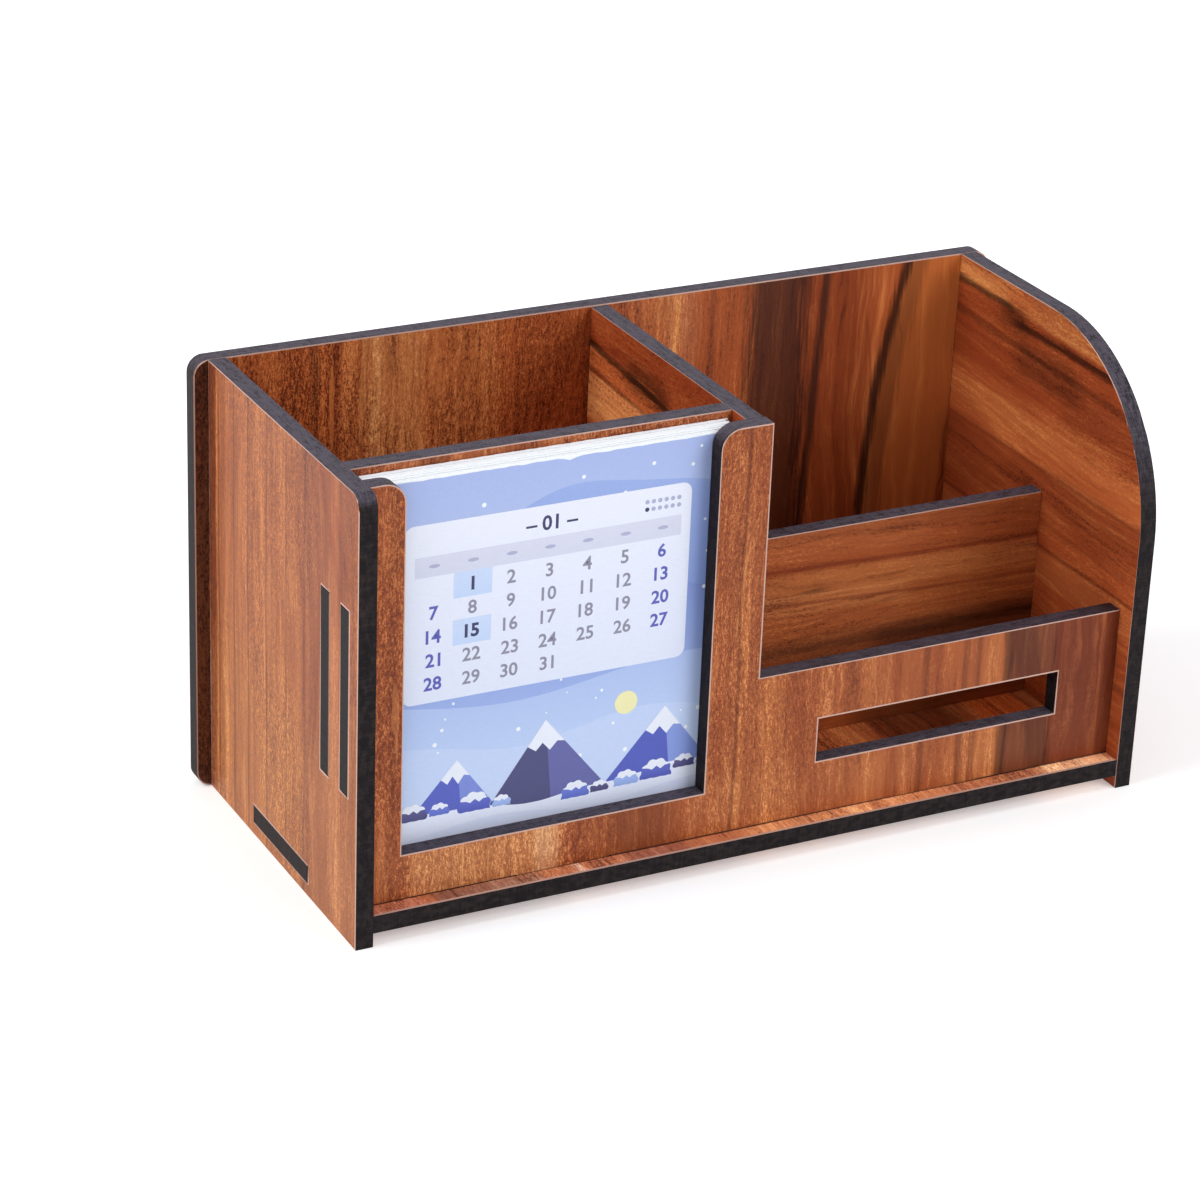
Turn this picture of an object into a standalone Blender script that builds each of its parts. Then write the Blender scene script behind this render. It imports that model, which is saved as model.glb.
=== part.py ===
"""Pen stand with a card calendar pocket: eight slotted boards and a stack of calendar cards.

Run with: blender --background --python part.py
Metres, +Z up. X runs along the length, the front faces -Y, and the origin is under the middle of the stand.
"""

from math import cos, pi, sin

import bmesh
import bpy

# Overall sizes
overall_length = 0.2000
overall_depth = 0.0854
overall_height = 0.1025
board_thickness = 0.0041

# Clearances: seat_gap lies wherever two boards meet and all round a tab in its slot
seat_gap = 0.0003

# Back panel
back_overhang = 0.0034
back_corner_radius = 0.0037

# Side panels
left_corner_radius = 0.0033
right_arc_radius = 0.0415

# Base
base_clearance = 0.0031
base_front_setback = 0.0002

# Boards between the sides finish a little below the outer boards
inner_top_drop = 0.0003

# Front panel: two posts round the calendar window, then a low wall with a letter slot
front_setback = 0.0047
left_post_width = 0.0083
window_width = 0.0716
window_sill = 0.0104
right_post_width = 0.0123
post_corner_radius = 0.0047
low_wall_height = 0.0359
letter_slot_margin = 0.0154
letter_slot_height = 0.0105

# Card pocket, partition and bin divider
pocket_depth = 0.0061
partition_inset = 0.0004
front_bin_depth = 0.0308
divider_height = 0.0511

# Tabs: heights of upright ones, lengths of level ones, and where the pairs sit along their edge
side_tab_height = 0.0416
low_tab_height = 0.0180
divider_tab_height = 0.0240
back_tab_height = 0.0160
base_tab_length = 0.0300
foot_tab_length = 0.0220
pair_shares = (0.25, 0.75)

# Calendar cards
card_count = 12
card_thickness = 0.0003
card_height = 0.0932
card_side_play = 0.0017
card_wander = 0.0004
card_trim = 0.0003
card_wander_turn = 2.4
pocket_play = 0.0003

# Smoothness of round stretches: the angle between neighbouring points
corner_step = pi / 16
arc_step = pi / 48

# Colours and finish of the boards and of the cards
board_colour = (0.36, 0.125, 0.055, 1.0)
board_roughness = 0.5
card_colour = (0.80, 0.82, 0.88, 1.0)
card_roughness = 0.6

# Places along X
left_end = -overall_length / 2
right_end = overall_length / 2
left_outer = left_end + back_overhang
left_inner = left_outer + board_thickness
right_outer = right_end - back_overhang
right_inner = right_outer - board_thickness
window_left = left_inner + left_post_width
window_right = window_left + window_width
post_right = window_right + right_post_width
partition_right = post_right - partition_inset
partition_left = partition_right - board_thickness
letter_left = post_right + letter_slot_margin
letter_right = right_inner - letter_slot_margin

# Places along Y
front_plane = -overall_depth / 2
back_plane = overall_depth / 2
back_face = back_plane - board_thickness
front_face = front_plane + front_setback
front_rear = front_face + board_thickness
pocket_rear = front_rear + pocket_depth
pen_front = pocket_rear + board_thickness
divider_face = front_rear + front_bin_depth
divider_rear = divider_face + board_thickness
base_front = front_plane + base_front_setback

# Places along Z
base_bottom = base_clearance
base_top = base_bottom + board_thickness
inner_top = overall_height - inner_top_drop
sill_top = base_top + window_sill
low_top = base_top + low_wall_height
letter_bottom = base_top + (low_wall_height - letter_slot_height) / 2
letter_top = letter_bottom + letter_slot_height
divider_top = base_top + divider_height


def span_about(centre, length):
    """The two ends of a stretch of the given length about its centre."""
    return centre - length / 2, centre + length / 2


def paired_spans(start, end, length):
    """Two stretches of the given length, at the pair shares of the way from start to end."""
    return [span_about(start + (end - start) * share, length) for share in pair_shares]


# Where each tab lies along its edge
side_tab = span_about((base_top + inner_top) / 2, side_tab_height)
low_tab = span_about((base_top + low_top) / 2, low_tab_height)
divider_tab = span_about((base_top + divider_top) / 2, divider_tab_height)
base_side_tab = span_about((base_front + back_face) / 2, base_tab_length)
back_tabs = paired_spans(0, overall_height, back_tab_height)
base_back_tabs = paired_spans(left_inner, right_inner, base_tab_length)
front_foot_tabs = paired_spans(left_inner, right_inner, foot_tab_length)
pocket_foot_tab = span_about((left_inner + partition_left) / 2, foot_tab_length)
divider_foot_tab = span_about((partition_right + right_inner) / 2, foot_tab_length)
partition_foot_tab = span_about((pen_front + back_face) / 2, foot_tab_length)


def round_corner(centre_u, centre_v, radius, start_angle, end_angle, step=corner_step):
    """Points of an arc about a centre, both ends included."""
    count = max(2, round(abs(end_angle - start_angle) / step))
    angles = [start_angle + (end_angle - start_angle) * i / count for i in range(count + 1)]
    return [(centre_u + radius * cos(a), centre_v + radius * sin(a)) for a in angles]


def tabs_below(edge_v, tip_v, spans):
    """Tabs along a lower edge, walked towards +U."""
    points = []
    for start, end in spans:
        points += [(start, edge_v), (start, tip_v), (end, tip_v), (end, edge_v)]
    return points


def tabs_right(edge_u, tip_u, spans):
    """Tabs along a right-hand edge, walked towards +V."""
    points = []
    for start, end in spans:
        points += [(edge_u, start), (tip_u, start), (tip_u, end), (edge_u, end)]
    return points


def tabs_above(edge_v, tip_v, spans):
    """Tabs along an upper edge, walked towards -U."""
    return tabs_below(edge_v, tip_v, spans)[::-1]


def tabs_left(edge_u, tip_u, spans):
    """Tabs along a left-hand edge, walked towards -V."""
    return tabs_right(edge_u, tip_u, spans)[::-1]


def slot(span_u, span_v):
    """The outline of a slot that clears a tab by the seat gap all round."""
    u0, u1 = span_u[0] - seat_gap, span_u[1] + seat_gap
    v0, v1 = span_v[0] - seat_gap, span_v[1] + seat_gap
    return [(u0, v0), (u1, v0), (u1, v1), (u0, v1)]


def add_loop(bm, points):
    """Adds a closed loop of edges in the board's plane and returns the edges."""
    verts = [bm.verts.new((u, v, 0)) for u, v in points]
    return [bm.edges.new((a, b)) for a, b in zip(verts, verts[1:] + verts[:1])]


def sheet_mesh(name, outline, holes, thickness):
    """A flat closed solid: an outline with holes, filled and drawn up by the thickness."""
    bm = bmesh.new()
    edges = add_loop(bm, outline)
    for hole in holes:
        edges += add_loop(bm, hole)
    filled = bmesh.ops.triangle_fill(bm, use_beauty=True, edges=edges, normal=(0, 0, -1))
    faces = [item for item in filled["geom"] if isinstance(item, bmesh.types.BMFace)]
    drawn = bmesh.ops.extrude_face_region(bm, geom=faces)
    for vert in [item for item in drawn["geom"] if isinstance(item, bmesh.types.BMVert)]:
        vert.co.z += thickness
    bmesh.ops.recalc_face_normals(bm, faces=bm.faces)
    mesh = bpy.data.meshes.new(name)
    bm.to_mesh(mesh)
    bm.free()
    return mesh


def make_material(name, colour, roughness):
    """A plain material that shows the node's colour."""
    material = bpy.data.materials.new(name)
    material.use_nodes = True
    shader = material.node_tree.nodes["Principled BSDF"]
    shader.inputs["Base Color"].default_value = colour
    shader.inputs["Roughness"].default_value = roughness
    material.diffuse_color = colour
    return material


def add_sheet(name, outline, holes, thickness, location, rotation, colour, roughness):
    """Makes one sheet and places it by its location and rotation."""
    sheet = bpy.data.objects.new(name, sheet_mesh(name, outline, holes, thickness))
    sheet.data.materials.append(make_material(name, colour, roughness))
    sheet.location = location
    sheet.rotation_euler = rotation
    bpy.context.scene.collection.objects.link(sheet)
    return sheet


def add_cross_board(name, outline, holes, rear_y):
    """A board that runs along the length: U is X, V is Z, and its rear face lies at rear_y."""
    return add_sheet(name, outline, holes, board_thickness, (0, rear_y, 0), (pi / 2, 0, 0),
                     board_colour, board_roughness)


def add_side_board(name, outline, holes, left_x):
    """A board that runs front to back: U is Y, V is Z, and its left face lies at left_x."""
    return add_sheet(name, outline, holes, board_thickness, (left_x, 0, 0), (pi / 2, 0, pi / 2),
                     board_colour, board_roughness)


def add_level_board(name, outline, holes, bottom_z):
    """A board that lies level: U is X, V is Y, and its underside lies at bottom_z."""
    return add_sheet(name, outline, holes, board_thickness, (0, 0, bottom_z), (0, 0, 0),
                     board_colour, board_roughness)


def make_back_panel():
    """Full-width rear board with round corners, slotted for the sides, the partition and the base."""
    r = back_corner_radius
    outline = round_corner(right_end - r, r, r, -pi / 2, 0)
    outline += round_corner(right_end - r, overall_height - r, r, 0, pi / 2)
    outline += round_corner(left_end + r, overall_height - r, r, pi / 2, pi)
    outline += round_corner(left_end + r, r, r, pi, 3 * pi / 2)
    holes = []
    for board in ((left_outer, left_inner), (partition_left, partition_right), (right_inner, right_outer)):
        holes += [slot(board, tab) for tab in back_tabs]
    holes += [slot(tab, (base_bottom, base_top)) for tab in base_back_tabs]
    return add_cross_board("back_panel", outline, holes, back_plane)


def make_left_panel():
    """Tall side board with one small round corner, slotted for the front, the pocket back and the base."""
    r = left_corner_radius
    rear = back_face - seat_gap
    outline = [(front_plane, 0), (rear, 0)]
    outline += tabs_right(rear, back_plane, back_tabs)
    outline += [(rear, overall_height)]
    outline += round_corner(front_plane + r, overall_height - r, r, pi / 2, pi)
    holes = [
        slot((front_face, front_rear), side_tab),
        slot((pocket_rear, pen_front), side_tab),
        slot(base_side_tab, (base_bottom, base_top)),
    ]
    return add_side_board("left_panel", outline, holes, left_outer)


def make_right_panel():
    """Side board whose top falls to the front in a large arc, slotted for the low wall, divider and base."""
    r = right_arc_radius
    rear = back_face - seat_gap
    outline = [(front_plane, 0), (rear, 0)]
    outline += tabs_right(rear, back_plane, back_tabs)
    outline += [(rear, overall_height)]
    outline += round_corner(front_plane + r, overall_height - r, r, pi / 2, pi, arc_step)
    holes = [
        slot((front_face, front_rear), low_tab),
        slot((divider_face, divider_rear), divider_tab),
        slot(base_side_tab, (base_bottom, base_top)),
    ]
    return add_side_board("right_panel", outline, holes, right_inner)


def make_base_panel():
    """Level board held between the sides, with slots for the foot tabs of the boards that stand on it."""
    left = left_inner + seat_gap
    right = right_inner - seat_gap
    rear = back_face - seat_gap
    outline = [(left, base_front), (right, base_front)]
    outline += tabs_right(right, right_outer, [base_side_tab])
    outline += [(right, rear)]
    outline += tabs_above(rear, back_plane, base_back_tabs)
    outline += [(left, rear)]
    outline += tabs_left(left, left_outer, [base_side_tab])
    holes = [slot(tab, (front_face, front_rear)) for tab in front_foot_tabs]
    holes += [
        slot(pocket_foot_tab, (pocket_rear, pen_front)),
        slot(divider_foot_tab, (divider_face, divider_rear)),
        slot((partition_left, partition_right), partition_foot_tab),
    ]
    return add_level_board("base_panel", outline, holes, base_bottom)


def make_front_panel():
    """Front board: a window open at the top between two posts, then a low wall with a letter slot."""
    r = post_corner_radius
    left = left_inner + seat_gap
    right = right_inner - seat_gap
    bottom = base_top + seat_gap
    outline = [(left, bottom)]
    outline += tabs_below(bottom, base_bottom, front_foot_tabs)
    outline += [(right, bottom)]
    outline += tabs_right(right, right_outer, [low_tab])
    outline += [(right, low_top), (post_right, low_top), (post_right, inner_top)]
    outline += round_corner(window_right + r, inner_top - r, r, pi / 2, pi)
    outline += [(window_right, sill_top), (window_left, sill_top)]
    outline += round_corner(window_left - r, inner_top - r, r, 0, pi / 2)
    outline += [(left, inner_top)]
    outline += tabs_left(left, left_outer, [side_tab])
    letter_slot = [(letter_left, letter_bottom), (letter_right, letter_bottom),
                   (letter_right, letter_top), (letter_left, letter_top)]
    return add_cross_board("front_panel", outline, [letter_slot], front_rear)


def make_pocket_back_panel():
    """Board behind the calendar cards, which is also the front wall of the pen box."""
    left = left_inner + seat_gap
    right = partition_left - seat_gap
    bottom = base_top + seat_gap
    outline = [(left, bottom)]
    outline += tabs_below(bottom, base_bottom, [pocket_foot_tab])
    outline += [(right, bottom)]
    outline += tabs_right(right, partition_right, [side_tab])
    outline += [(right, inner_top), (left, inner_top)]
    outline += tabs_left(left, left_outer, [side_tab])
    return add_cross_board("pocket_back_panel", outline, [], pen_front)


def make_bin_divider():
    """Mid-height board across the right-hand half, between the front and rear bins."""
    left = partition_right + seat_gap
    right = right_inner - seat_gap
    bottom = base_top + seat_gap
    outline = [(left, bottom)]
    outline += tabs_below(bottom, base_bottom, [divider_foot_tab])
    outline += [(right, bottom)]
    outline += tabs_right(right, right_outer, [divider_tab])
    outline += [(right, divider_top), (left, divider_top)]
    outline += tabs_left(left, partition_left, [divider_tab])
    return add_cross_board("bin_divider", outline, [], divider_rear)


def make_partition_panel():
    """Full-height board from front to back, between the pen box and the bins."""
    front = front_rear + seat_gap
    rear = back_face - seat_gap
    bottom = base_top + seat_gap
    outline = [(front, bottom)]
    outline += tabs_below(bottom, base_bottom, [partition_foot_tab])
    outline += [(rear, bottom)]
    outline += tabs_right(rear, back_plane, back_tabs)
    outline += [(rear, inner_top), (front, inner_top)]
    holes = [
        slot((pocket_rear, pen_front), side_tab),
        slot((divider_face, divider_rear), divider_tab),
    ]
    return add_side_board("partition_panel", outline, holes, partition_left)


def make_calendar_cards():
    """A stack of loose cards that stand in the pocket, each a little out of line with the next."""
    first = front_rear + pocket_play
    last = pocket_rear - pocket_play - card_thickness
    pitch = (last - first) / (card_count - 1)
    half_width = (partition_left - left_inner) / 2 - card_side_play
    pocket_middle = (left_inner + partition_left) / 2
    for index in range(card_count):
        shift = card_wander * sin(index * card_wander_turn)
        top = card_height - card_trim * cos(index * card_wander_turn) ** 2
        outline = [(-half_width, 0), (half_width, 0), (half_width, top), (-half_width, top)]
        rear_y = first + index * pitch + card_thickness
        location = (pocket_middle + shift, rear_y, base_top + seat_gap)
        add_sheet(f"calendar_card_{index + 1:02d}", outline, [], card_thickness, location, (pi / 2, 0, 0),
                  card_colour, card_roughness)


def main():
    for item in list(bpy.data.objects):
        bpy.data.objects.remove(item, do_unlink=True)
    make_back_panel()
    make_left_panel()
    make_right_panel()
    make_base_panel()
    make_front_panel()
    make_pocket_back_panel()
    make_bin_divider()
    make_partition_panel()
    make_calendar_cards()


main()
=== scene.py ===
"""Calendar pen stand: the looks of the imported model.

Eight laminated boards with charred edges, twelve printed calendar cards and a plain studio.
The file is laid out as an add-on, with one operator for each board or group of like pieces.
"""

from colorsys import hsv_to_rgb, rgb_to_hsv
from math import copysign, cos, pi, radians, sin
from typing import NamedTuple

import bmesh
import bpy
from bpy.props import FloatProperty, FloatVectorProperty, IntProperty, PointerProperty
from mathutils import Matrix, Quaternion, Vector, noise


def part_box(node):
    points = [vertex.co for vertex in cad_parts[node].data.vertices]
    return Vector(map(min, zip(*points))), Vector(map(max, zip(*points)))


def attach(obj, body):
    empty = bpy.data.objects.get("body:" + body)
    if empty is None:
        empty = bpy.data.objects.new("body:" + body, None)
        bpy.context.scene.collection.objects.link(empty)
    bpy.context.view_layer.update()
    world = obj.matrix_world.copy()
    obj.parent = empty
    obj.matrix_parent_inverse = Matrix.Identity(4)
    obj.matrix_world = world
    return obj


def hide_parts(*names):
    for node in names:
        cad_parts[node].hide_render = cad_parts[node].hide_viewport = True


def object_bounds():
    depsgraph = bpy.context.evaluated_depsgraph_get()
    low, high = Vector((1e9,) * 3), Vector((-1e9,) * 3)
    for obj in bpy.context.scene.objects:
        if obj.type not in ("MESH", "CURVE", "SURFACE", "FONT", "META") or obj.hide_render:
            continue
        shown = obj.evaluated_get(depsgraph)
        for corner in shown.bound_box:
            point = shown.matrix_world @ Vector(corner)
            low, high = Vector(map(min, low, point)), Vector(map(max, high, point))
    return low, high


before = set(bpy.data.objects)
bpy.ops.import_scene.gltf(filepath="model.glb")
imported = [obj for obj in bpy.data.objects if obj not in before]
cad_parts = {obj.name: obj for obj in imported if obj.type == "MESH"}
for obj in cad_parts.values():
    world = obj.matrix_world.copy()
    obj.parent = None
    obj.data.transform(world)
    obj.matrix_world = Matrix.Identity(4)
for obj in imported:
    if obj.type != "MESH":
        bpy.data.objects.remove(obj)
cad_low, cad_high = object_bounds()

bl_info = {
    "name": "Calendar Pen Stand",
    "version": (1, 0, 0),
    "blender": (4, 5, 0),
    "location": "View3D > Sidebar > Pen Stand",
    "description": "Dresses the boards and calendar cards of a desk pen stand",
    "category": "Object",
}

MM = 0.001
AXES = "XYZ"
CARD_COUNT = sum(node.startswith("calendar_card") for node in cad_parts)


def linear(display):
    """A colour given as red, green and blue from 0 to 255, as the shaders take it."""
    shares = [value / 255 for value in display]
    return tuple(s / 12.92 if s <= 0.04045 else ((s + 0.055) / 1.055) ** 2.4 for s in shares)


def rgba(display):
    """The same colour with a full alpha."""
    return (*linear(display), 1.0)


# Settings that a user would change


def length(name, description, default, least=0.0):
    """A size in metres."""
    return FloatProperty(name=name, description=description, default=default, min=least, unit="LENGTH")


def angle(name, description, degrees):
    """A turn, given in degrees."""
    return FloatProperty(name=name, description=description, default=radians(degrees), subtype="ANGLE")


def power(name, description, default):
    """The power of a lamp."""
    return FloatProperty(name=name, description=description, default=default, min=0.0, unit="POWER")


def strength(name, description, default):
    """A plain number that isn't negative."""
    return FloatProperty(name=name, description=description, default=default, min=0.0)


def paint(name, description, *display):
    """A colour, given as red, green and blue from 0 to 255."""
    return FloatVectorProperty(
        name=name, description=description, default=linear(display), subtype="COLOR", size=3,
        min=0.0, max=1.0,
    )


class BoardSettings(bpy.types.PropertyGroup):
    """Sizes and colours that all boards share."""

    rim_width: length("Core Line Width", "Pale line of laminate core round every cut face", 0.0003)
    rim_drop: length("Core Line Drop", "How far the cut edge of the laminate is eased", 0.0001)
    seam: length("Seam", "Dark line left where two boards meet", 0.0001)
    seat_reach: length("Seat Reach", "Edges closer than this to another board are drawn up to it", 0.00036)
    core_colour: paint("Core Colour", "Pale paper core of the laminate", 200, 163, 148)
    char_colour: paint("Char Colour", "Cut edge, blackened by the cutter", 24, 20, 23)
    # Painted top light: cut edges that face up are drawn greyer for the light from above, and are somewhat
    # dusty too
    dust_colour: paint("Dust Colour", "Greyer cut edge where it faces up", 81, 75, 87)


class CardSettings(bpy.types.PropertyGroup):
    """Sizes and colours of the calendar cards."""

    stock_thickness: length("Stock Thickness", "One card, fanned as in a used stack", 0.00038, 0.0001)
    ink_step: length("Ink Step", "Height of one printed layer over the next", 0.000007, 0.000001)
    deckle: length("Deckle", "Roughness of the torn upper edge", 0.00035)
    number_height: length("Number Height", "Height of the numbers of the days", 0.0031)
    title_height: length("Title Height", "Height of the number of the month", 0.0034)
    stock_colour: paint("Stock Colour", "Bare card", 244, 247, 251)
    day_colour: paint("Day Colour", "Numbers of the working days", 138, 136, 156)
    rest_colour: paint("Rest Day Colour", "Numbers of the first and last column", 84, 88, 178)
    marked_colour: paint("Marked Colour", "Title and marked days", 46, 46, 92)
    scatter_seed: IntProperty(
        name="Scatter Seed", description="Changes where the specks of the print fall", default=3,
    )


class StudioSettings(bpy.types.PropertyGroup):
    """Camera, lights and floor."""

    camera_place: FloatVectorProperty(
        name="Camera Place", description="Where the camera stands",
        subtype="TRANSLATION", unit="LENGTH", size=3, default=(-0.3744, -0.6772, 0.3982),
    )
    heading: angle("Heading", "Turn of the camera to the right of straight on", 27.63)
    pitch: angle("Pitch", "How far the camera looks down", 24.56)
    roll: angle("Roll", "Tilt of the camera about its own view", 2.209)
    lens: FloatProperty(
        name="Lens", description="Focal length on a 36 mm sensor", default=114.46,
        subtype="DISTANCE_CAMERA",
    )
    ambient: strength("Ambient", "Strength of the light from all round", 0.55)
    key_power: power("Key Power", "Large soft lamp, left and above", 11.0)
    fill_power: power("Fill Power", "Soft lamp, front right and above", 9.0)
    floor_colour: paint("Floor Colour", "Plain pale desk", 248, 248, 249)
    floor_glow: strength("Floor Glow", "White that the camera sees on the desk next to the stand", 0.3)


# Node trees


class Signal:
    """A node's output, which can be used in sums."""

    def __init__(self, graph, socket):
        self.graph = graph
        self.socket = socket

    def __add__(self, other):
        return self.graph.math("ADD", self, other)

    def __sub__(self, other):
        return self.graph.math("SUBTRACT", self, other)

    def __mul__(self, other):
        return self.graph.math("MULTIPLY", self, other)

    def __abs__(self):
        return self.graph.math("ABSOLUTE", self)

    def swing(self, amount):
        """A noise value moved to lie about zero and scaled."""
        return (self - 0.5) * amount


class Graph:
    """Adds nodes to a tree and links them with plain calls."""

    nodes_in_row = 12
    row_step, column_step = -220, 170

    def __init__(self, tree):
        self.tree = tree

    def node(self, kind, inputs=None, **settings):
        """A new node, with its settings and its inputs, by name or number, which are values or signals."""
        node = self.tree.nodes.new(kind)
        row, column = divmod(len(self.tree.nodes), self.nodes_in_row)
        node.location = (self.column_step * column, self.row_step * row)
        for name, value in settings.items():
            setattr(node, name, value)
        for key, value in (inputs or {}).items():
            self.feed(node.inputs[key], value)
        return node

    def add(self, kind, inputs=None, **settings):
        """The first output of a new node."""
        return Signal(self, self.node(kind, inputs, **settings).outputs[0])

    def outputs(self, kind, inputs=None, **settings):
        """The outputs of a new node by name."""
        return {socket.name: Signal(self, socket) for socket in self.node(kind, inputs, **settings).outputs}

    def typed(self, node, kind, *values):
        """Feeds the node's inputs of one type in turn, and returns its first output of that type."""
        for socket, value in zip((item for item in node.inputs if item.type == kind), values):
            self.feed(socket, value)
        return Signal(self, next(item for item in node.outputs if item.type == kind))

    def feed(self, socket, value):
        """Links a signal to the socket, or sets the socket's own value."""
        if isinstance(value, Signal):
            self.tree.links.new(value.socket, socket)
        else:
            socket.default_value = value

    def math(self, operation, *values):
        """The result of a Math node."""
        return self.add("ShaderNodeMath", dict(enumerate(values)), operation=operation)

    def smooth(self, value, start, end, low=0.0, high=1.0):
        """Value taken from start..end to low..high along an S curve."""
        ends = {"Value": value, "From Min": start, "From Max": end, "To Min": low, "To Max": high}
        return self.add("ShaderNodeMapRange", ends, interpolation_type="SMOOTHSTEP")

    def blend(self, share, first, second, how="MIX"):
        """Two colours mixed by a share."""
        node = self.node("ShaderNodeMix", {"Factor": share}, data_type="RGBA", blend_type=how)
        return self.typed(node, "RGBA", first, second)

    def grain(self, place, stretch, detail=2.0, roughness=0.5):
        """Noise stretched by its own frequency per millimetre along each axis of the pattern."""
        stretched = self.add("ShaderNodeVectorMath", {0: place, 1: stretch}, operation="MULTIPLY")
        settings = {"Vector": stretched, "Scale": 1.0, "Detail": detail, "Roughness": roughness}
        return self.add("ShaderNodeTexNoise", settings)


SOCKET_KINDS = {"RGBA": "Color", "VALUE": "Float", "GEOMETRY": "Geometry"}


def new_group(name, family, **inputs):
    """An empty node group and its inputs by name; each kind of socket gives its sockets' names."""
    tree = bpy.data.node_groups.new(name, f"{family}NodeTree")
    for kind, labels in inputs.items():
        for label in labels:
            tree.interface.new_socket(name=label, in_out="INPUT", socket_type=f"NodeSocket{kind}")
    graph = Graph(tree)
    return graph, graph.outputs("NodeGroupInput")


def close_group(graph, **results):
    """Gives the group its outputs and feeds them."""
    for name, signal in results.items():
        kind = f"NodeSocket{SOCKET_KINDS[signal.socket.type]}"
        graph.tree.interface.new_socket(name=name, in_out="OUTPUT", socket_type=kind)
    graph.node("NodeGroupOutput", results)
    return graph.tree


def label_of(field):
    """The socket's label for a keyword, as Half Width for half_width."""
    return field.replace("_", " ").title()


def shared_tree(build):
    """The group that a function builds, named after it, built the first time it is asked for."""
    name = label_of(build.__name__)
    return bpy.data.node_groups.get(name) or build(name)


def placed(graph, build, **values):
    """The outputs of a shared group placed in a tree with its own values."""
    inputs = {label_of(field): value for field, value in values.items()}
    kind = graph.tree.bl_idname.replace("Tree", "Group")
    return graph.outputs(kind, inputs, node_tree=shared_tree(build))


def board_grain(name):
    """Printed wood: broad figure, ribbons, curled short fibres, fine dots, pores and growth lines."""
    graph, entry = new_group(
        name, "Shader", Vector=["Place"], Color=["Light", "Body", "Dark"],
        Float=["Figure", "Ribbon", "Fibre", "Curl"],
    )
    place, light, dark = entry["Place"], entry["Light"], entry["Dark"]
    drift = graph.grain(place, (0.03, 0.25, 0.012), 1.5).swing(12.0)
    curl = graph.grain(place, (0.24, 0.4, 0.1)).swing(2.4) * entry["Curl"]
    bend = graph.add("ShaderNodeCombineXYZ", {"X": drift + curl})
    wavy = graph.add("ShaderNodeVectorMath", {0: place, 1: bend}, operation="ADD")
    broad = graph.grain(wavy, (0.08, 0.45, 0.005))
    ribbon = graph.grain(wavy, (0.42, 0.8, 0.015), 3.0, 0.62)
    thread = graph.grain(wavy, (1.3, 0.9, 0.1), 2.0, 0.6)
    fibre = graph.grain(wavy, (3.0, 1.5, 0.9), 2.0, 0.65)
    dots = graph.grain(place, (2.8, 2.0, 2.2), 2.0, 0.6)
    pore = graph.grain(wavy, (4.5, 2.5, 0.5), 1.0)
    stripe = graph.grain(wavy, (0.6, 0.8, 0.035))
    patch = graph.grain(place, (0.12, 0.5, 0.045))
    ridge = graph.grain(wavy, (0.13, 0.5, 0.0042), 1.0)
    calm = graph.smooth(graph.grain(place, (0.04, 0.3, 0.014), 1.0), 0.36, 0.62, 0.5, 1.2)
    speckle = calm * entry["Fibre"]
    bands = (ribbon.swing(2.0) + thread.swing(1.1)) * entry["Ribbon"]
    fine = (fibre.swing(2.8) + dots.swing(1.9)) * speckle
    tone = broad.swing(2.2) * entry["Figure"] + bands + fine + patch.swing(0.5) + 0.5
    shade = graph.blend(graph.smooth(tone, -0.05, 0.5), dark, entry["Body"])
    colour = graph.blend(graph.smooth(tone, 0.5, 1.05), shade, light)
    colour = graph.blend(graph.smooth(stripe, 0.6, 0.68, 0.0, 0.5) * speckle, colour, light)
    border = graph.smooth(abs(stripe - 0.6), 0.0, 0.012, 0.4, 0.0)
    colour = graph.blend(border * speckle, colour, dark)
    growth = graph.smooth(abs(ridge - 0.5), 0.0, 0.012, 1.0, 0.0) * graph.smooth(patch, 0.35, 0.6)
    colour = graph.blend(growth * entry["Ribbon"] * 0.5, colour, dark)
    pores = graph.smooth(pore, 0.62, 0.7) * speckle
    colour = graph.blend(pores * 0.35, colour, dark)
    roughness = fibre.swing(0.4) * entry["Fibre"] + 0.46
    return close_group(graph, Color=colour, Height=fibre + thread - pores * 0.8, Roughness=roughness)


def grain_streak(name):
    """Mask of one streak that runs along the grain, with a wavering, fibrous edge."""
    graph, entry = new_group(
        name, "Shader", Vector=["Place"],
        Float=["Centre", "Slope", "Bow", "Half Width", "Softness", "Waver", "Start", "End"],
    )
    place, half_width, softness = entry["Place"], entry["Half Width"], entry["Softness"]
    axes = graph.outputs("ShaderNodeSeparateXYZ", {"Vector": place})
    along = axes["Z"]
    waver = graph.grain(place, (0.004, 0.02, 0.022)).swing(2.0) * entry["Waver"]
    course = (along * entry["Bow"] + entry["Slope"]) * along + entry["Centre"] + waver
    fray = graph.grain(place, (1.5, 0.5, 0.09), 3.0, 0.65).swing(1.7) * softness
    mask = graph.smooth(abs(axes["X"] - course) + fray, half_width, half_width + softness, 1.0, 0.0)
    for end, taper in ((entry["Start"], 4.0), (entry["End"], -4.0)):
        mask = mask * graph.smooth((along - end) * (0.5 / taper) + 0.5, 0.0, 1.0)
    return close_group(graph, Mask=mask)


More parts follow.
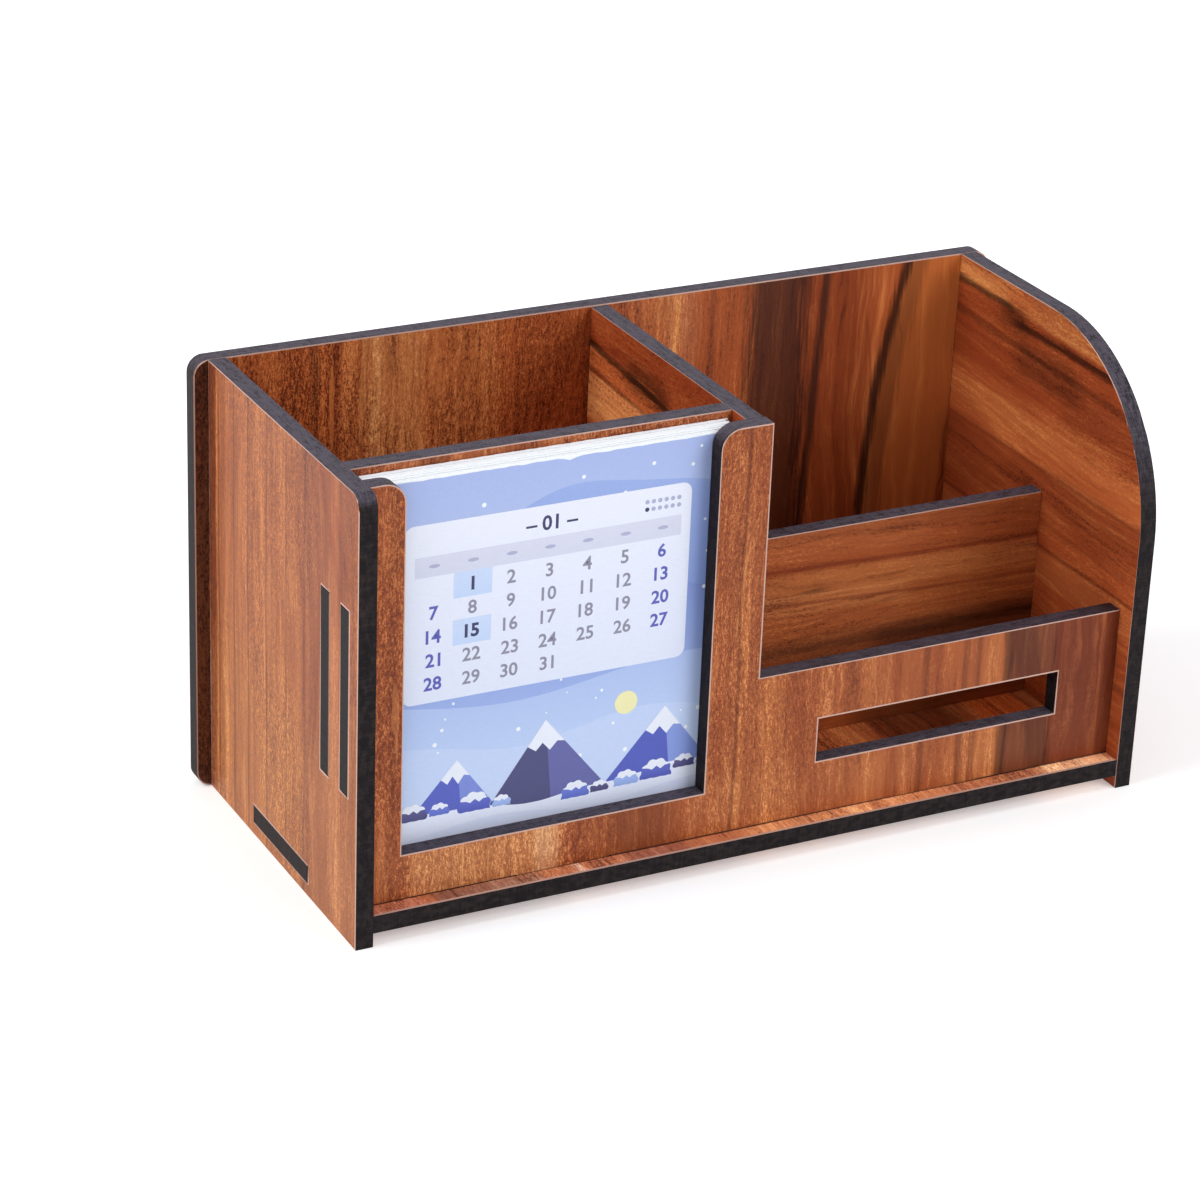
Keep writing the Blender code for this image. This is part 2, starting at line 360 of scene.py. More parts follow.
def scorched_edge(name):
    """Burnt cut edge: near black, with fine lines through the board, grey on top as painted top light on
    somewhat dusty char, and pale nicks.
    """
    graph, entry = new_group(
        name, "Shader", Vector=["Place"], Float=["Upward"], Color=["Char", "Dust", "Nick"],
    )
    place = entry["Place"]
    burn_lines = graph.grain(place, (1.9, 0.12, 1.9), 2.0, 0.6)
    mottle = graph.grain(place, (0.5, 0.9, 0.5), 3.0, 0.6)
    specks = graph.grain(place, (2.6, 2.2, 2.6), 1.0)
    scratches = graph.grain(place, (0.22, 4.0, 0.22), 2.0, 0.6)
    nick = graph.grain(place, (0.4, 0.9, 0.4), 3.0, 0.75)
    tone = mottle.swing(1.9) + specks.swing(1.6) + scratches.swing(2.6) + burn_lines.swing(0.8) + 0.84
    # Faces that point up blend towards the grey: painted top light on somewhat dusty char
    colour = graph.blend(graph.smooth(entry["Upward"], 0.1, 0.95) * tone, entry["Char"], entry["Dust"])
    haze = mottle.swing(0.3) + burn_lines.swing(0.12) + 0.035
    for share in (haze, graph.smooth(nick, 0.72, 0.8, 0.0, 0.5)):
        colour = graph.blend(share, colour, entry["Nick"])
    return close_group(
        graph, Color=colour, Height=burn_lines + specks * 0.4, Roughness=mottle.swing(0.5) + 0.55,
    )


def paper_fibre(name):
    """Coated card: a colour with the slight cloud of its fibres and ink."""
    graph, entry = new_group(name, "Shader", Vector=["Place"], Color=["Base"], Float=["Cloud"])
    fibres = graph.grain(entry["Place"], (1.6, 1.6, 1.6), 3.0, 0.6)
    weave = graph.grain(entry["Place"], (0.35, 3.0, 3.0), 1.0)
    value = (fibres.swing(2.0) + weave.swing(1.2)) * entry["Cloud"] + 1.0
    colour = graph.add("ShaderNodeHueSaturation", {"Color": entry["Base"], "Value": value})
    return close_group(graph, Color=colour, Height=fibres)


# Board finishes, in millimetres across and along the grain of each board


class Streak(NamedTuple):
    """One streak of another tone along the grain; some of them are painted shade and painted light."""

    centre: float
    half_width: float
    softness: float
    tone: tuple
    strength: float
    waver: float = 1.5
    slope: float = 0.0
    bow: float = 0.0
    veil: float = 0.0
    start: float = -1000.0
    end: float = 1000.0
    crosswise: bool = False


class Finish(NamedTuple):
    """How the printed laminate of one board looks.

    The axes are the ones across, through and along the grain, and fibre is given at the left and right
    end of the desk.
    """

    axes: str
    light: tuple
    body: tuple
    dark: tuple
    figure: float
    ribbon: float
    fibre: tuple
    curl: float
    seed: float
    rim: float = 1.0
    streaks: tuple = ()


GOLD = (204, 122, 68)
PALE = (214, 150, 108)
RUST = (142, 66, 34)
UMBER = (92, 42, 22)
# Near black, for dark grain lines and seams, and for painted shade
DARK_LINE_AND_SHADE = (48, 21, 11)

BACK_FINISH = Finish(
    "XYZ", (212, 123, 66), (170, 84, 41), (98, 42, 20), 0.3, 0.65, (1.05, 0), 1, 3,
    streaks=(
        # The first streak is painted shade on the strip of the back board that stands out beside the left
        # board
        Streak(-98.6, 2, 0.6, DARK_LINE_AND_SHADE, 0.85), Streak(-82, 3, 3, GOLD, 0.1),
        Streak(-72.2, 0.4, 1.2, UMBER, 0.45), Streak(-66.4, 0.3, 1.2, RUST, 0.6),
        Streak(-61, 3, 3, GOLD, 0.35), Streak(-53, 5, 4, GOLD, 0.35), Streak(-43, 13, 5, GOLD, 0.4),
        Streak(-12, 5, 10, RUST, 0.35), Streak(12, 5, 6, GOLD, 0.35), Streak(7.5, 0.25, 0.9, RUST, 0.6),
        Streak(16.5, 0.8, 1.2, GOLD, 0.4), Streak(26.5, 0.25, 1, UMBER, 0.4),
        # The streak at 44 is painted shade on the inner face at the left end of the bins
        Streak(21, 1.2, 2, PALE, 0.12), Streak(44, 5, 6, (82, 36, 17), 0.97, 1),
        Streak(58, 6, 6, (136, 58, 24), 0.85, 1), Streak(50.1, 0.3, 1.6, DARK_LINE_AND_SHADE, 0.8, 0.5, slope=0.061),
        Streak(66, 2.5, 4, RUST, 0.3),
        Streak(81.5, 9.5, 1.5, (192, 107, 52), 0.75, 0.5, slope=-0.111, bow=0.00181, veil=0.5),
        Streak(73.5, 1.2, 3, UMBER, 0.5, 0.5, slope=-0.111, bow=0.00181),
        Streak(70.4, 0.35, 1.9, DARK_LINE_AND_SHADE, 0.88, 0.5, slope=-0.111, bow=0.00181),
    ),
)
LEFT_FINISH = Finish(
    "YXZ", (202, 128, 74), (160, 89, 48), (118, 58, 33), 0.2, 0.5, (0.85, 0.85), 0.6, 11,
    streaks=(
        Streak(38.45, 0.25, 0.1, (216, 176, 150), 0.5, 0.1, veil=0.4),
        # Painted shadow with some scorch stain: the streaks at 37.8 and 38 darken the rear edge where the
        # back board's overhang shades it
        Streak(37.8, 2.7, 1.6, (132, 66, 38), 0.95, 0.5), Streak(38, 3, 1.6, UMBER, 0.3, 0.5, start=42),
        Streak(33, 0.28, 0.35, UMBER, 0.5, 0.7), Streak(33.9, 0.4, 0.5, GOLD, 0.5, 0.7),
        Streak(26.6, 1.8, 1.6, GOLD, 0.35, 0.7), Streak(24.2, 0.28, 0.35, UMBER, 0.55, 0.7),
        Streak(18.8, 2, 2, GOLD, 0.25, 0.7), Streak(16.2, 0.28, 0.35, UMBER, 0.55, 0.7),
        Streak(8.6, 2, 3, GOLD, 0.22, 0.7), Streak(5.8, 0.28, 0.35, UMBER, 0.55, 0.7),
        Streak(-3, 1.2, 2.4, GOLD, 0.2, 0.9), Streak(-5, 0.25, 0.5, UMBER, 0.45, 0.9),
        Streak(-15, 0.15, 0.8, UMBER, 0.4), Streak(-27.5, 13, 3, (150, 82, 48), 0.95),
        Streak(-33, 1, 2, GOLD, 0.4, slope=0.03),
        Streak(-66, 0.4, 1.6, RUST, 0.5, 1, slope=0.42, start=78),
        Streak(-78, 0.4, 1.6, RUST, 0.45, 1, slope=0.5, start=80),
        # Painted light and shade: the left board is drawn lighter towards its foot and darker towards its
        # top
        Streak(15, 12, 30, (169, 101, 55), 1, 0.5, crosswise=True),
        Streak(100, 8, 30, (154, 83, 43), 1, 0.5, crosswise=True),
    ),
)
RIGHT_FINISH = Finish(
    "ZXY", (208, 118, 63), (165, 76, 39), (94, 37, 18), 0.2, 0.5, (0.35, 0.35), 0.6, 23, 0.7,
    streaks=(
        Streak(99.5, 2.4, 1.2, (206, 116, 64), 0.6, 0.8, slope=0.02),
        Streak(99, 2, 1.5, GOLD, 0.3, start=18), Streak(99.5, 3, 2, RUST, 0.7, end=6),
        Streak(81, 4, 4, RUST, 0.5, end=-8), Streak(60.5, 4, 2.5, RUST, 0.35, end=-8),
        Streak(97, 0.25, 1.3, DARK_LINE_AND_SHADE, 0.8, 0.8, start=14),
        Streak(94.2, 0.25, 1.3, DARK_LINE_AND_SHADE, 0.85, 0.8, end=14),
        Streak(95, 1.8, 2.5, DARK_LINE_AND_SHADE, 0.55, start=8, end=20),
        Streak(87, 2.5, 3.5, UMBER, 0.5, start=-14, end=12),
        Streak(86.5, 6.5, 4, (132, 55, 27), 0.45, 1), Streak(88.6, 0.3, 1.2, UMBER, 0.5, slope=0.03),
        Streak(69, 5, 0.8, (202, 110, 60), 0.36, 0.4), Streak(72.5, 2.5, 4, GOLD, 0.15),
        Streak(63.4, 0.15, 0.6, RUST, 0.7, 0.4), Streak(57, 6, 2.5, RUST, 0.55, 0.8),
        Streak(45, 0.12, 0.7, UMBER, 0.6, 0.8), Streak(40.5, 3, 1.5, GOLD, 0.3, 0.8),
        Streak(24, 0.3, 1.2, UMBER, 0.5, 1),
    ),
)
BASE_FINISH = Finish(
    "XZY", (212, 128, 76), (172, 88, 48), (102, 46, 26), 0.4, 0.7, (0.6, 0.5), 0.5, 31, 2.3,
    streaks=(
        # Painted light: the lip in front of the front board is drawn lighter than the board inside, for the
        # light that falls on it from above; the streaks that end at -37 lie on the lip alone and are partly
        # painted light too
        Streak(-42, 5, 1, (208, 126, 86), 0.95, 0, crosswise=True),
        Streak(-86, 5, 3, (162, 78, 48), 0.8, end=-37),
        Streak(-65, 11, 3, (126, 72, 48), 0.85, end=-37), Streak(-43.5, 0.5, 0.7, PALE, 0.6, end=-37),
        Streak(-39, 4, 3, (194, 102, 58), 0.7, end=-37),
        Streak(-25, 5, 5, (146, 72, 46), 0.85, end=-37),
        Streak(12, 12, 5, (208, 120, 66), 0.8, end=-37), Streak(37, 7, 5, (198, 108, 58), 0.7, end=-37),
        Streak(82.5, 6, 4, (236, 150, 92), 0.95, end=-37),
        Streak(37, 8, 4, (226, 130, 74), 0.8, start=-36), Streak(31, 0.8, 1.6, UMBER, 0.4, start=-36),
        Streak(61, 7, 5, UMBER, 0.55, start=-36), Streak(70, 0.7, 1.5, GOLD, 0.6, start=-36),
        Streak(82, 5, 3, (214, 98, 42), 0.8, start=-36),
        Streak(-38, 0.32, 0.12, DARK_LINE_AND_SHADE, 0.9, 0.25, crosswise=True),
    ),
)
FRONT_FINISH = Finish(
    "XYZ", (211, 134, 81), (160, 86, 48), (121, 59, 34), 0.15, 0.6, (0.95, 0.22), 1, 43,
    streaks=(
        Streak(-88.5, 3.5, 3, RUST, 0.35), Streak(-86.6, 0.3, 1.2, UMBER, 0.3),
        Streak(-65.5, 15, 2.5, (190, 118, 72), 0.5, 0.6, veil=0.25),
        Streak(-50.2, 1.5, 2, (198, 134, 92), 0.3, 0.6, veil=0.3),
        Streak(-30.5, 14.5, 1.5, RUST, 0.6, 0.6), Streak(-28, 5, 5, UMBER, 0.42),
        Streak(-11, 1.5, 2, RUST, 0.35), Streak(-4.2, 0.5, 0.6, GOLD, 0.4, 2.2),
        Streak(-5.5, 0.1, 0.6, UMBER, 0.5, 2.2), Streak(3.5, 1.5, 3, GOLD, 0.35),
        Streak(18, 2, 5, RUST, 0.4, slope=-0.2), Streak(29, 1.5, 4, GOLD, 0.2),
        Streak(34.5, 0.3, 1.6, RUST, 0.5), Streak(46, 3.5, 3, RUST, 0.45),
        Streak(42, 0.3, 1, UMBER, 0.45, 0.8), Streak(49.2, 1, 1.5, GOLD, 0.3, 0.8),
        Streak(52.3, 0.3, 0.9, UMBER, 0.4, 0.8), Streak(55.5, 0.25, 0.8, UMBER, 0.35, 0.8),
        Streak(60, 2.4, 2, GOLD, 0.25, 0.8), Streak(69.8, 5.3, 1.3, (88, 41, 26), 0.7, 0.6),
        Streak(75.6, 2, 2, UMBER, 0.5, 0.5, slope=-0.2), Streak(63.4, 0.4, 1.6, DARK_LINE_AND_SHADE, 0.65, 0.8),
        Streak(85.5, 9.3, 1.5, (110, 47, 24), 0.95, 0.6), Streak(88.5, 0.15, 0.8, GOLD, 0.5, 0.8),
        Streak(9, 6, 10, (170, 96, 55), 1, 0.5, crosswise=True),
    ),
)
POCKET_FINISH = Finish(
    "XYZ", (208, 132, 82), (164, 88, 52), (104, 50, 30), 0.4, 0.5, (0.9, 0.6), 0.6, 57,
    streaks=(
        Streak(-30, 6, 5, RUST, 0.4), Streak(-74, 2, 3, UMBER, 0.5),
    ),
)
DIVIDER_FINISH = Finish(
    "ZYX", (218, 132, 72), (177, 94, 48), (110, 50, 25), 0.2, 0.6, (0.8, 0.25), 1, 67,
    streaks=(
        Streak(57.6, 1, 1.4, RUST, 0.5, 1, slope=-0.02), Streak(54.5, 3, 2, GOLD, 0.3, end=62),
        Streak(52, 3, 1.6, (168, 82, 42), 0.7, 0.8, slope=-0.02),
        Streak(49.6, 0.2, 0.7, RUST, 0.85, 0.8, slope=-0.022),
        Streak(45.2, 2.6, 1.2, GOLD, 0.55, 0.8, slope=-0.01),
        Streak(40.6, 1.6, 1.8, GOLD, 0.75, 0.8, slope=-0.02, end=58),
        Streak(41, 0.1, 0.6, RUST, 0.8, 0.8, slope=-0.03), Streak(35.5, 0.1, 0.6, RUST, 0.5, 1),
        Streak(26, 4, 2.6, UMBER, 0.5, 0.8, slope=0.02), Streak(26, 4, 2.6, UMBER, 0.5, 0.8, start=50),
        Streak(28.8, 0.5, 1.2, DARK_LINE_AND_SHADE, 0.4, 0.8), Streak(9, 4, 3, UMBER, 0.4, 0.8, start=45),
        Streak(42.5, 0.3, 0.5, DARK_LINE_AND_SHADE, 0.6, start=31, end=35),
    ),
)
PARTITION_FINISH = Finish(
    "ZXY", (228, 142, 80), (196, 99, 52), (118, 52, 28), 0.25, 0.6, (0.42, 0.42), 0.5, 79, 0.5,
    streaks=(
        Streak(98.6, 5.2, 1.4, (150, 62, 29), 0.95, 0.8, slope=0.03),
        Streak(91.1, 0.3, 1.3, DARK_LINE_AND_SHADE, 0.85, 0.6, slope=0.068),
        Streak(93, 2, 3, DARK_LINE_AND_SHADE, 0.6, start=1, end=20),
        Streak(85.8, 0.15, 0.8, UMBER, 0.6, 0.8, slope=0.05),
        # The streak at 81.6 is a golden band of the grain, partly painted light: drawn extra bright where
        # the board lies in shade
        Streak(81.6, 4, 2, (246, 158, 94), 0.8, 0.6), Streak(64, 5, 4, RUST, 0.5),
        Streak(40, 1, 2, UMBER, 0.5),
    ),
)

BOARD_FINISHES = {
    "back_panel": BACK_FINISH,
    "left_panel": LEFT_FINISH,
    "right_panel": RIGHT_FINISH,
    "base_panel": BASE_FINISH,
    "front_panel": FRONT_FINISH,
    "pocket_back_panel": POCKET_FINISH,
    "bin_divider": DIVIDER_FINISH,
    "partition_panel": PARTITION_FINISH,
}


# Materials


def new_material(name):
    """A material with its graph and its shader."""
    material = bpy.data.materials.new(name)
    material.use_nodes = True
    return material, Graph(material.node_tree), material.node_tree.nodes["Principled BSDF"]


def feed_shader(graph, shader, values, height=None, depth=0.0, amount=0.0):
    """Feeds the shader's inputs by name and, where a height is given, the relief to its normal."""
    if height:
        relief = {"Height": height, "Distance": depth, "Strength": amount}
        values = {**values, "Normal": graph.add("ShaderNodeBump", relief)}
    for name, value in values.items():
        graph.feed(shader.inputs[name], value)


def object_axes(graph):
    """Object coordinates, one signal for each axis."""
    place = graph.outputs("ShaderNodeTexCoord")["Object"]
    return graph.outputs("ShaderNodeSeparateXYZ", {"Vector": place})


def pattern_place(graph, axes=AXES, offset=0.0):
    """Object coordinates in millimetres, as across, through and along the board's grain."""
    own = object_axes(graph)
    turned = graph.add("ShaderNodeCombineXYZ", {key: own[axis] for key, axis in zip(AXES, axes)})
    mapping = {"Vector": turned, "Scale": (1 / MM,) * 3, "Location": (0.0, offset, 0.0)}
    return graph.add("ShaderNodeMapping", mapping)


# How far to the left and right the fibre goes on changing
FIBRE_REACH = 90 * MM


def laminate_material(name, finish):
    """Printed wood laminate of one board, with its own streaks, which keep the fibres showing; some streaks
    are painted shade and light.
    """
    material, graph, shader = new_material(name)
    place = pattern_place(graph, finish.axes, finish.seed)
    turned = pattern_place(graph, finish.axes[::-1], finish.seed)
    wood = placed(
        graph, board_grain, place=place, light=rgba(finish.light), body=rgba(finish.body),
        dark=rgba(finish.dark), figure=finish.figure, ribbon=finish.ribbon, curl=finish.curl,
        fibre=graph.smooth(object_axes(graph)["X"], -FIBRE_REACH, FIBRE_REACH, *finish.fibre),
    )
    colour = wood["Color"]
    for streak in finish.streaks:
        course = streak._asdict()
        tone, amount, veil, crosswise = map(course.pop, ("tone", "strength", "veil", "crosswise"))
        mask = placed(graph, grain_streak, place=turned if crosswise else place, **course)["Mask"]
        ratio = [part / whole for part, whole in zip(linear(tone), linear(finish.body))]
        colour = graph.blend(mask * amount, colour, (*ratio, 1.0), "MULTIPLY")
        if veil:
            colour = graph.blend(mask * veil, colour, rgba(tone))
    values = {"Base Color": colour, "Roughness": wood["Roughness"], "Specular IOR Level": 0.18}
    feed_shader(graph, shader, values, wood["Height"], depth=0.00004, amount=0.35)
    return material


def edge_material(name, finish, look):
    """Charred edge of one board, greyer where it faces up: painted top light on somewhat dusty char."""
    material, graph, shader = new_material(name)
    normal = graph.outputs("ShaderNodeNewGeometry")["Normal"]
    burn = placed(
        graph, scorched_edge, place=pattern_place(graph, finish.axes, finish.seed),
        upward=graph.outputs("ShaderNodeSeparateXYZ", {"Vector": normal})["Z"],
        char=(*look.char_colour, 1.0), dust=(*look.dust_colour, 1.0), nick=rgba((130, 112, 104)),
    )
    values = {"Base Color": burn["Color"], "Roughness": burn["Roughness"], "Specular IOR Level": 0.08}
    feed_shader(graph, shader, values, burn["Height"], depth=0.00005, amount=0.4)
    return material


def paper_material(name, colour, cloud, roughness, depth=0.00001, amount=0.2):
    """Card, core or ink, clouded by its fibres, made once; with no colour it takes the mesh's own ink."""
    if name in bpy.data.materials:
        return bpy.data.materials[name]
    material, graph, shader = new_material(name)
    ink = (*colour, 1.0) if colour else graph.add("ShaderNodeAttribute", attribute_name="ink")
    paper = placed(graph, paper_fibre, place=pattern_place(graph), base=ink, cloud=cloud)
    values = {"Base Color": paper["Color"], "Roughness": roughness}
    feed_shader(graph, shader, values, paper["Height"], depth, amount)
    return material


# Boards

LAMINATE, CORE, CHARRED = range(3)
# A face is one of the board's two flat sides where its normal reaches this
FLAT = 0.99


def put(name, data):
    """A new object in the scene."""
    item = bpy.data.objects.new(name, data)
    bpy.context.scene.collection.objects.link(item)
    return item


def add_piece(mesh, body, slot, *replaced):
    """A finished piece, named as its mesh, that rides on its body and stands for the CAD nodes named."""
    piece = put(mesh.name, mesh)
    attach(piece, body)
    if replaced:
        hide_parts(*replaced)


def flat_sheet(name, left, low, right, high):
    """A level rectangle at height nought."""
    mesh = bpy.data.meshes.new(name)
    corners = [(left, low, 0.0), (right, low, 0.0), (right, high, 0.0), (left, high, 0.0)]
    mesh.from_pydata(corners, [], [(0, 1, 2, 3)])
    return mesh


def draw_up(verts, axis, look):
    """Moves edges that nearly reach a board lying square to the axis up to it, leaving the seam."""
    ends = [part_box(node) for node, finish in BOARD_FINISHES.items() if finish.axes[1] == AXES[axis]]
    for plane in [end[axis] for pair in ends for end in pair]:
        for vert in verts:
            gap = vert.co[axis] - plane
            if look.seam < abs(gap) <= look.seat_reach:
                vert.co[axis] = plane + copysign(look.seam, gap)


def rim_edges(faces):
    """The edges round a flat region, outer and inner."""
    region = set(faces)
    edges = [edge for face in faces for edge in face.edges]
    return [edge for edge in edges if sum(face in region for face in edge.link_faces) == 1]


def butted(edge, region, depth, side, others, look):
    """Whether another board stands against this edge of a laminate face."""
    face = next(f for f in edge.link_faces if f in region)
    middle = (edge.verts[0].co + edge.verts[1].co) / 2
    along = (edge.verts[1].co - edge.verts[0].co).normalized()
    outward = middle - face.calc_center_median()
    outward -= along * outward.dot(along)
    probe = middle + outward.normalized() * look.seat_reach
    probe[depth] += side * look.seat_reach
    return any(all(low[i] <= probe[i] <= high[i] for i in range(3)) for low, high in others)


def refill(bm, region, depth, side):
    """Replaces a flat region's triangles by an even fill inside the same outline."""
    rim = rim_edges(region)
    bmesh.ops.delete(bm, geom=region, context="FACES_KEEP_BOUNDARY")
    normal = [0.0, 0.0, 0.0]
    normal[depth] = side
    filled = bmesh.ops.triangle_fill(bm, use_beauty=True, edges=rim, normal=normal)
    for face in filled["geom"]:
        if isinstance(face, bmesh.types.BMFace):
            face.normal_update()
            if face.normal[depth] * side < 0:
                face.normal_flip()
            face.material_index = LAMINATE
            face.smooth = False


def dress_side(bm, region, depth, side, others, finish, look):
    """Eases the rim of one laminate face and gives it its pale line, save where a board hides it."""
    owned = set(region)
    rim = rim_edges(region)
    hidden = {edge for edge in rim if butted(edge, owned, depth, side, others, look)}
    eased = {vert for edge in rim for vert in edge.verts}
    eased -= {vert for edge in hidden for vert in edge.verts}
    width = look.rim_width * finish.rim
    made = bmesh.ops.inset_region(
        bm, faces=region, thickness=width, use_boundary=True, use_even_offset=True,
    )
    for face in made["faces"]:
        face.smooth = False
        face.material_index = LAMINATE if hidden.intersection(face.edges) else CORE
    for vert in eased:
        vert.co[depth] -= side * look.rim_drop
    refill(bm, region, depth, side)


def board_mesh(node, finish, look):
    """A board's mesh: laminate faces, a pale line round them and charred edges."""
    depth = AXES.index(finish.axes[1])
    others = [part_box(other) for other in BOARD_FINISHES if other != node]
    bm = bmesh.new()
    bm.from_mesh(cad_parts[node].data)
    bmesh.ops.remove_doubles(bm, verts=bm.verts, dist=look.seam / 10)
    bm.normal_update()
    for axis in {0, 1, 2} - {depth}:
        draw_up(bm.verts, axis, look)
    for face in bm.faces:
        face.material_index = LAMINATE if abs(face.normal[depth]) > FLAT else CHARRED
        face.smooth = face.material_index == CHARRED
    for side in (-1, 1):
        region = [face for face in bm.faces if face.normal[depth] * side > FLAT]
        dress_side(bm, region, depth, side, others, finish, look)
    charred = [edge for edge in bm.edges if all(f.material_index == CHARRED for f in edge.link_faces)]
    bmesh.ops.dissolve_limit(
        bm, angle_limit=radians(0.5), use_dissolve_boundaries=False, verts=bm.verts, edges=charred,
    )
    mesh = bpy.data.meshes.new(node.replace("_panel", "_board").replace("divider", "divider_board"))
    bm.to_mesh(mesh)
    bm.free()
    mesh.set_sharp_from_angle(angle=radians(14))
    return mesh


def build_board(node, context):
    """Builds one board, its finish and its edges, in place of its CAD node, for its operator."""
    look = context.scene.pen_stand_boards
    finish = BOARD_FINISHES[node]
    mesh = board_mesh(node, finish, look)
    core = {"cloud": 0.22, "roughness": 0.6, "depth": 0.00002, "amount": 0.3}
    mesh.materials.append(laminate_material(f"{mesh.name}_laminate", finish))
    mesh.materials.append(paper_material("core_line", look.core_colour, **core))
    mesh.materials.append(edge_material(f"{mesh.name}_edge", finish, look))
    add_piece(mesh, "stand", "laminated_board", node)
    return {"FINISHED"}


# Geometry nodes


def thin_solid(name):
    """Turns a flat sheet that faces up into a thin closed solid of the given thickness."""
    graph, entry = new_group(name, "Geometry", Geometry=["Sheet"], Float=["Thickness"])
    pull = {"Mesh": entry["Sheet"], "Offset Scale": entry["Thickness"], "Individual": False}
    joined = graph.node("GeometryNodeJoinGeometry")
    graph.feed(joined.inputs[0], graph.add("GeometryNodeExtrudeMesh", pull))
    graph.feed(joined.inputs[0], graph.add("GeometryNodeFlipFaces", {"Mesh": entry["Sheet"]}))
    merge = {"Geometry": Signal(graph, joined.outputs[0]), "Distance": 0.000001}
    return close_group(graph, Solid=graph.add("GeometryNodeMergeByDistance", merge))


def finish_tree(graph, entry, shape):
    """Makes copies real, gives the shape its material and closes the tree."""
    real = graph.add("GeometryNodeRealizeInstances", {"Geometry": shape})
    done = {"Geometry": real, "Material": entry["Material"]}
    return close_group(graph, Geometry=graph.add("GeometryNodeSetMaterial", done))


def stamp(graph, entry, corners, radius, across, up, **places):
    """Puts a thin round solid, stretched across and up, at every place and closes the tree."""
    disc = {"Vertices": corners, "Radius": radius}
    sheet = graph.add("GeometryNodeMeshCircle", disc, fill_type="NGON")
    solid = placed(graph, thin_solid, sheet=sheet, thickness=entry["Thickness"])["Solid"]
    scale = graph.add("ShaderNodeCombineXYZ", {"X": across, "Y": up, "Z": 1.0})
    copies = {"Instance": solid, "Scale": scale, **places}
    return finish_tree(graph, entry, graph.add("GeometryNodeInstanceOnPoints", copies))


def card_stock(name):
    """A card lying flat: a sheet whose far edge is roughly torn, drawn up to its thickness."""
    graph, entry = new_group(
        name, "Geometry", Geometry=["Geometry"], Material=["Material"],
        Float=["Width", "Height", "Thickness", "Deckle", "Seed"],
    )
    size = {"Size X": entry["Width"], "Size Y": entry["Height"], "Vertices X": 97, "Vertices Y": 2}
    sheet = graph.add("GeometryNodeMeshGrid", size)
    axes = graph.outputs("ShaderNodeSeparateXYZ", {"Vector": graph.add("GeometryNodeInputPosition")})
    edge = graph.add("ShaderNodeCombineXYZ", {"X": axes["X"], "Y": entry["Seed"]})
    rough = {"Vector": edge, "Scale": 0.5, "Detail": 3.0, "Roughness": 0.7}
    tear = graph.add("ShaderNodeTexNoise", rough) * entry["Deckle"] * -1.0
    pull = {
        "Geometry": sheet, "Selection": graph.math("GREATER_THAN", axes["Y"], 0.0),
        "Offset": graph.add("ShaderNodeCombineXYZ", {"Y": tear}),
    }
    torn = graph.add("GeometryNodeSetPosition", pull)
    solid = placed(graph, thin_solid, sheet=torn, thickness=entry["Thickness"])["Solid"]
    return finish_tree(graph, entry, solid)


def scattered_specks(name):
    """Small round specks strewn over a flat patch."""
    graph, entry = new_group(
        name, "Geometry", Geometry=["Geometry"], Material=["Material"], Int=["Seed"],
        Float=["Density", "Radius", "Thickness"],
    )
    strewn = {"Mesh": entry["Geometry"], "Density": entry["Density"], "Seed": entry["Seed"]}
    spots = graph.add("GeometryNodeDistributePointsOnFaces", strewn)
    smallest, largest = 0.45, 1.3
    dice = graph.node("FunctionNodeRandomValue", {"Seed": entry["Seed"]}, data_type="FLOAT")
    size = graph.typed(dice, "VALUE", smallest, largest)
    return stamp(
        graph, entry, corners=10, radius=entry["Radius"], across=size, up=size, Points=spots,
    )


def mark_rows(name):
    """Rows of like round marks; one of them can be left out, or made alone."""
    graph, entry = new_group(
        name, "Geometry", Geometry=["Geometry"], Material=["Material"], Bool=["Only Chosen"],
        Int=["Columns", "Rows", "Chosen"],
        Float=["Reach", "Rise", "Half Length", "Half Height", "Thickness"],
    )
    grid = {
        "Size X": entry["Reach"], "Size Y": entry["Rise"],
        "Vertices X": entry["Columns"], "Vertices Y": entry["Rows"],
    }
    spots = graph.add("GeometryNodeMeshToPoints", {"Mesh": graph.add("GeometryNodeMeshGrid", grid)})
    same = graph.math("COMPARE", graph.add("GeometryNodeInputIndex"), entry["Chosen"], 0.5)
    picked = graph.add("FunctionNodeBooleanMath", {0: same, 1: entry["Only Chosen"]}, operation="XNOR")
    return stamp(
        graph, entry, corners=20, radius=1.0, across=entry["Half Length"], up=entry["Half Height"],
        Points=spots, Selection=picked,
    )


def plain_mesh(holder):
    """The mesh that an object comes to, and the object removed."""
    graph = bpy.context.evaluated_depsgraph_get()
    mesh = bpy.data.meshes.new_from_object(holder.evaluated_get(graph))
    bpy.data.objects.remove(holder)
    return mesh


def grow(build, start=None, **values):
    """Runs a geometry tree with its inputs set by identifier and returns the result as a plain mesh."""
    tree = shared_tree(build)
    holder = bpy.data.objects.new(tree.name, start or bpy.data.meshes.new(tree.name))
    modifier = holder.modifiers.new(tree.name, "NODES")
    modifier.node_group = tree
    labels = {label_of(field): value for field, value in values.items()}
    for item in tree.interface.items_tree:
        if item.item_type == "SOCKET" and item.in_out == "INPUT" and item.name in labels:
            modifier[item.identifier] = labels[item.name]
    bpy.context.scene.collection.objects.link(holder)
    return plain_mesh(holder)


# Cards: places on the print are in millimetres from the card's lower left corner


class Card(NamedTuple):
    """One card: its number from the front, its body, its place and its size in millimetres."""

    number: int
    node: str
    body: str
    left: float
    low: float
    front: float
    width: float
    height: float


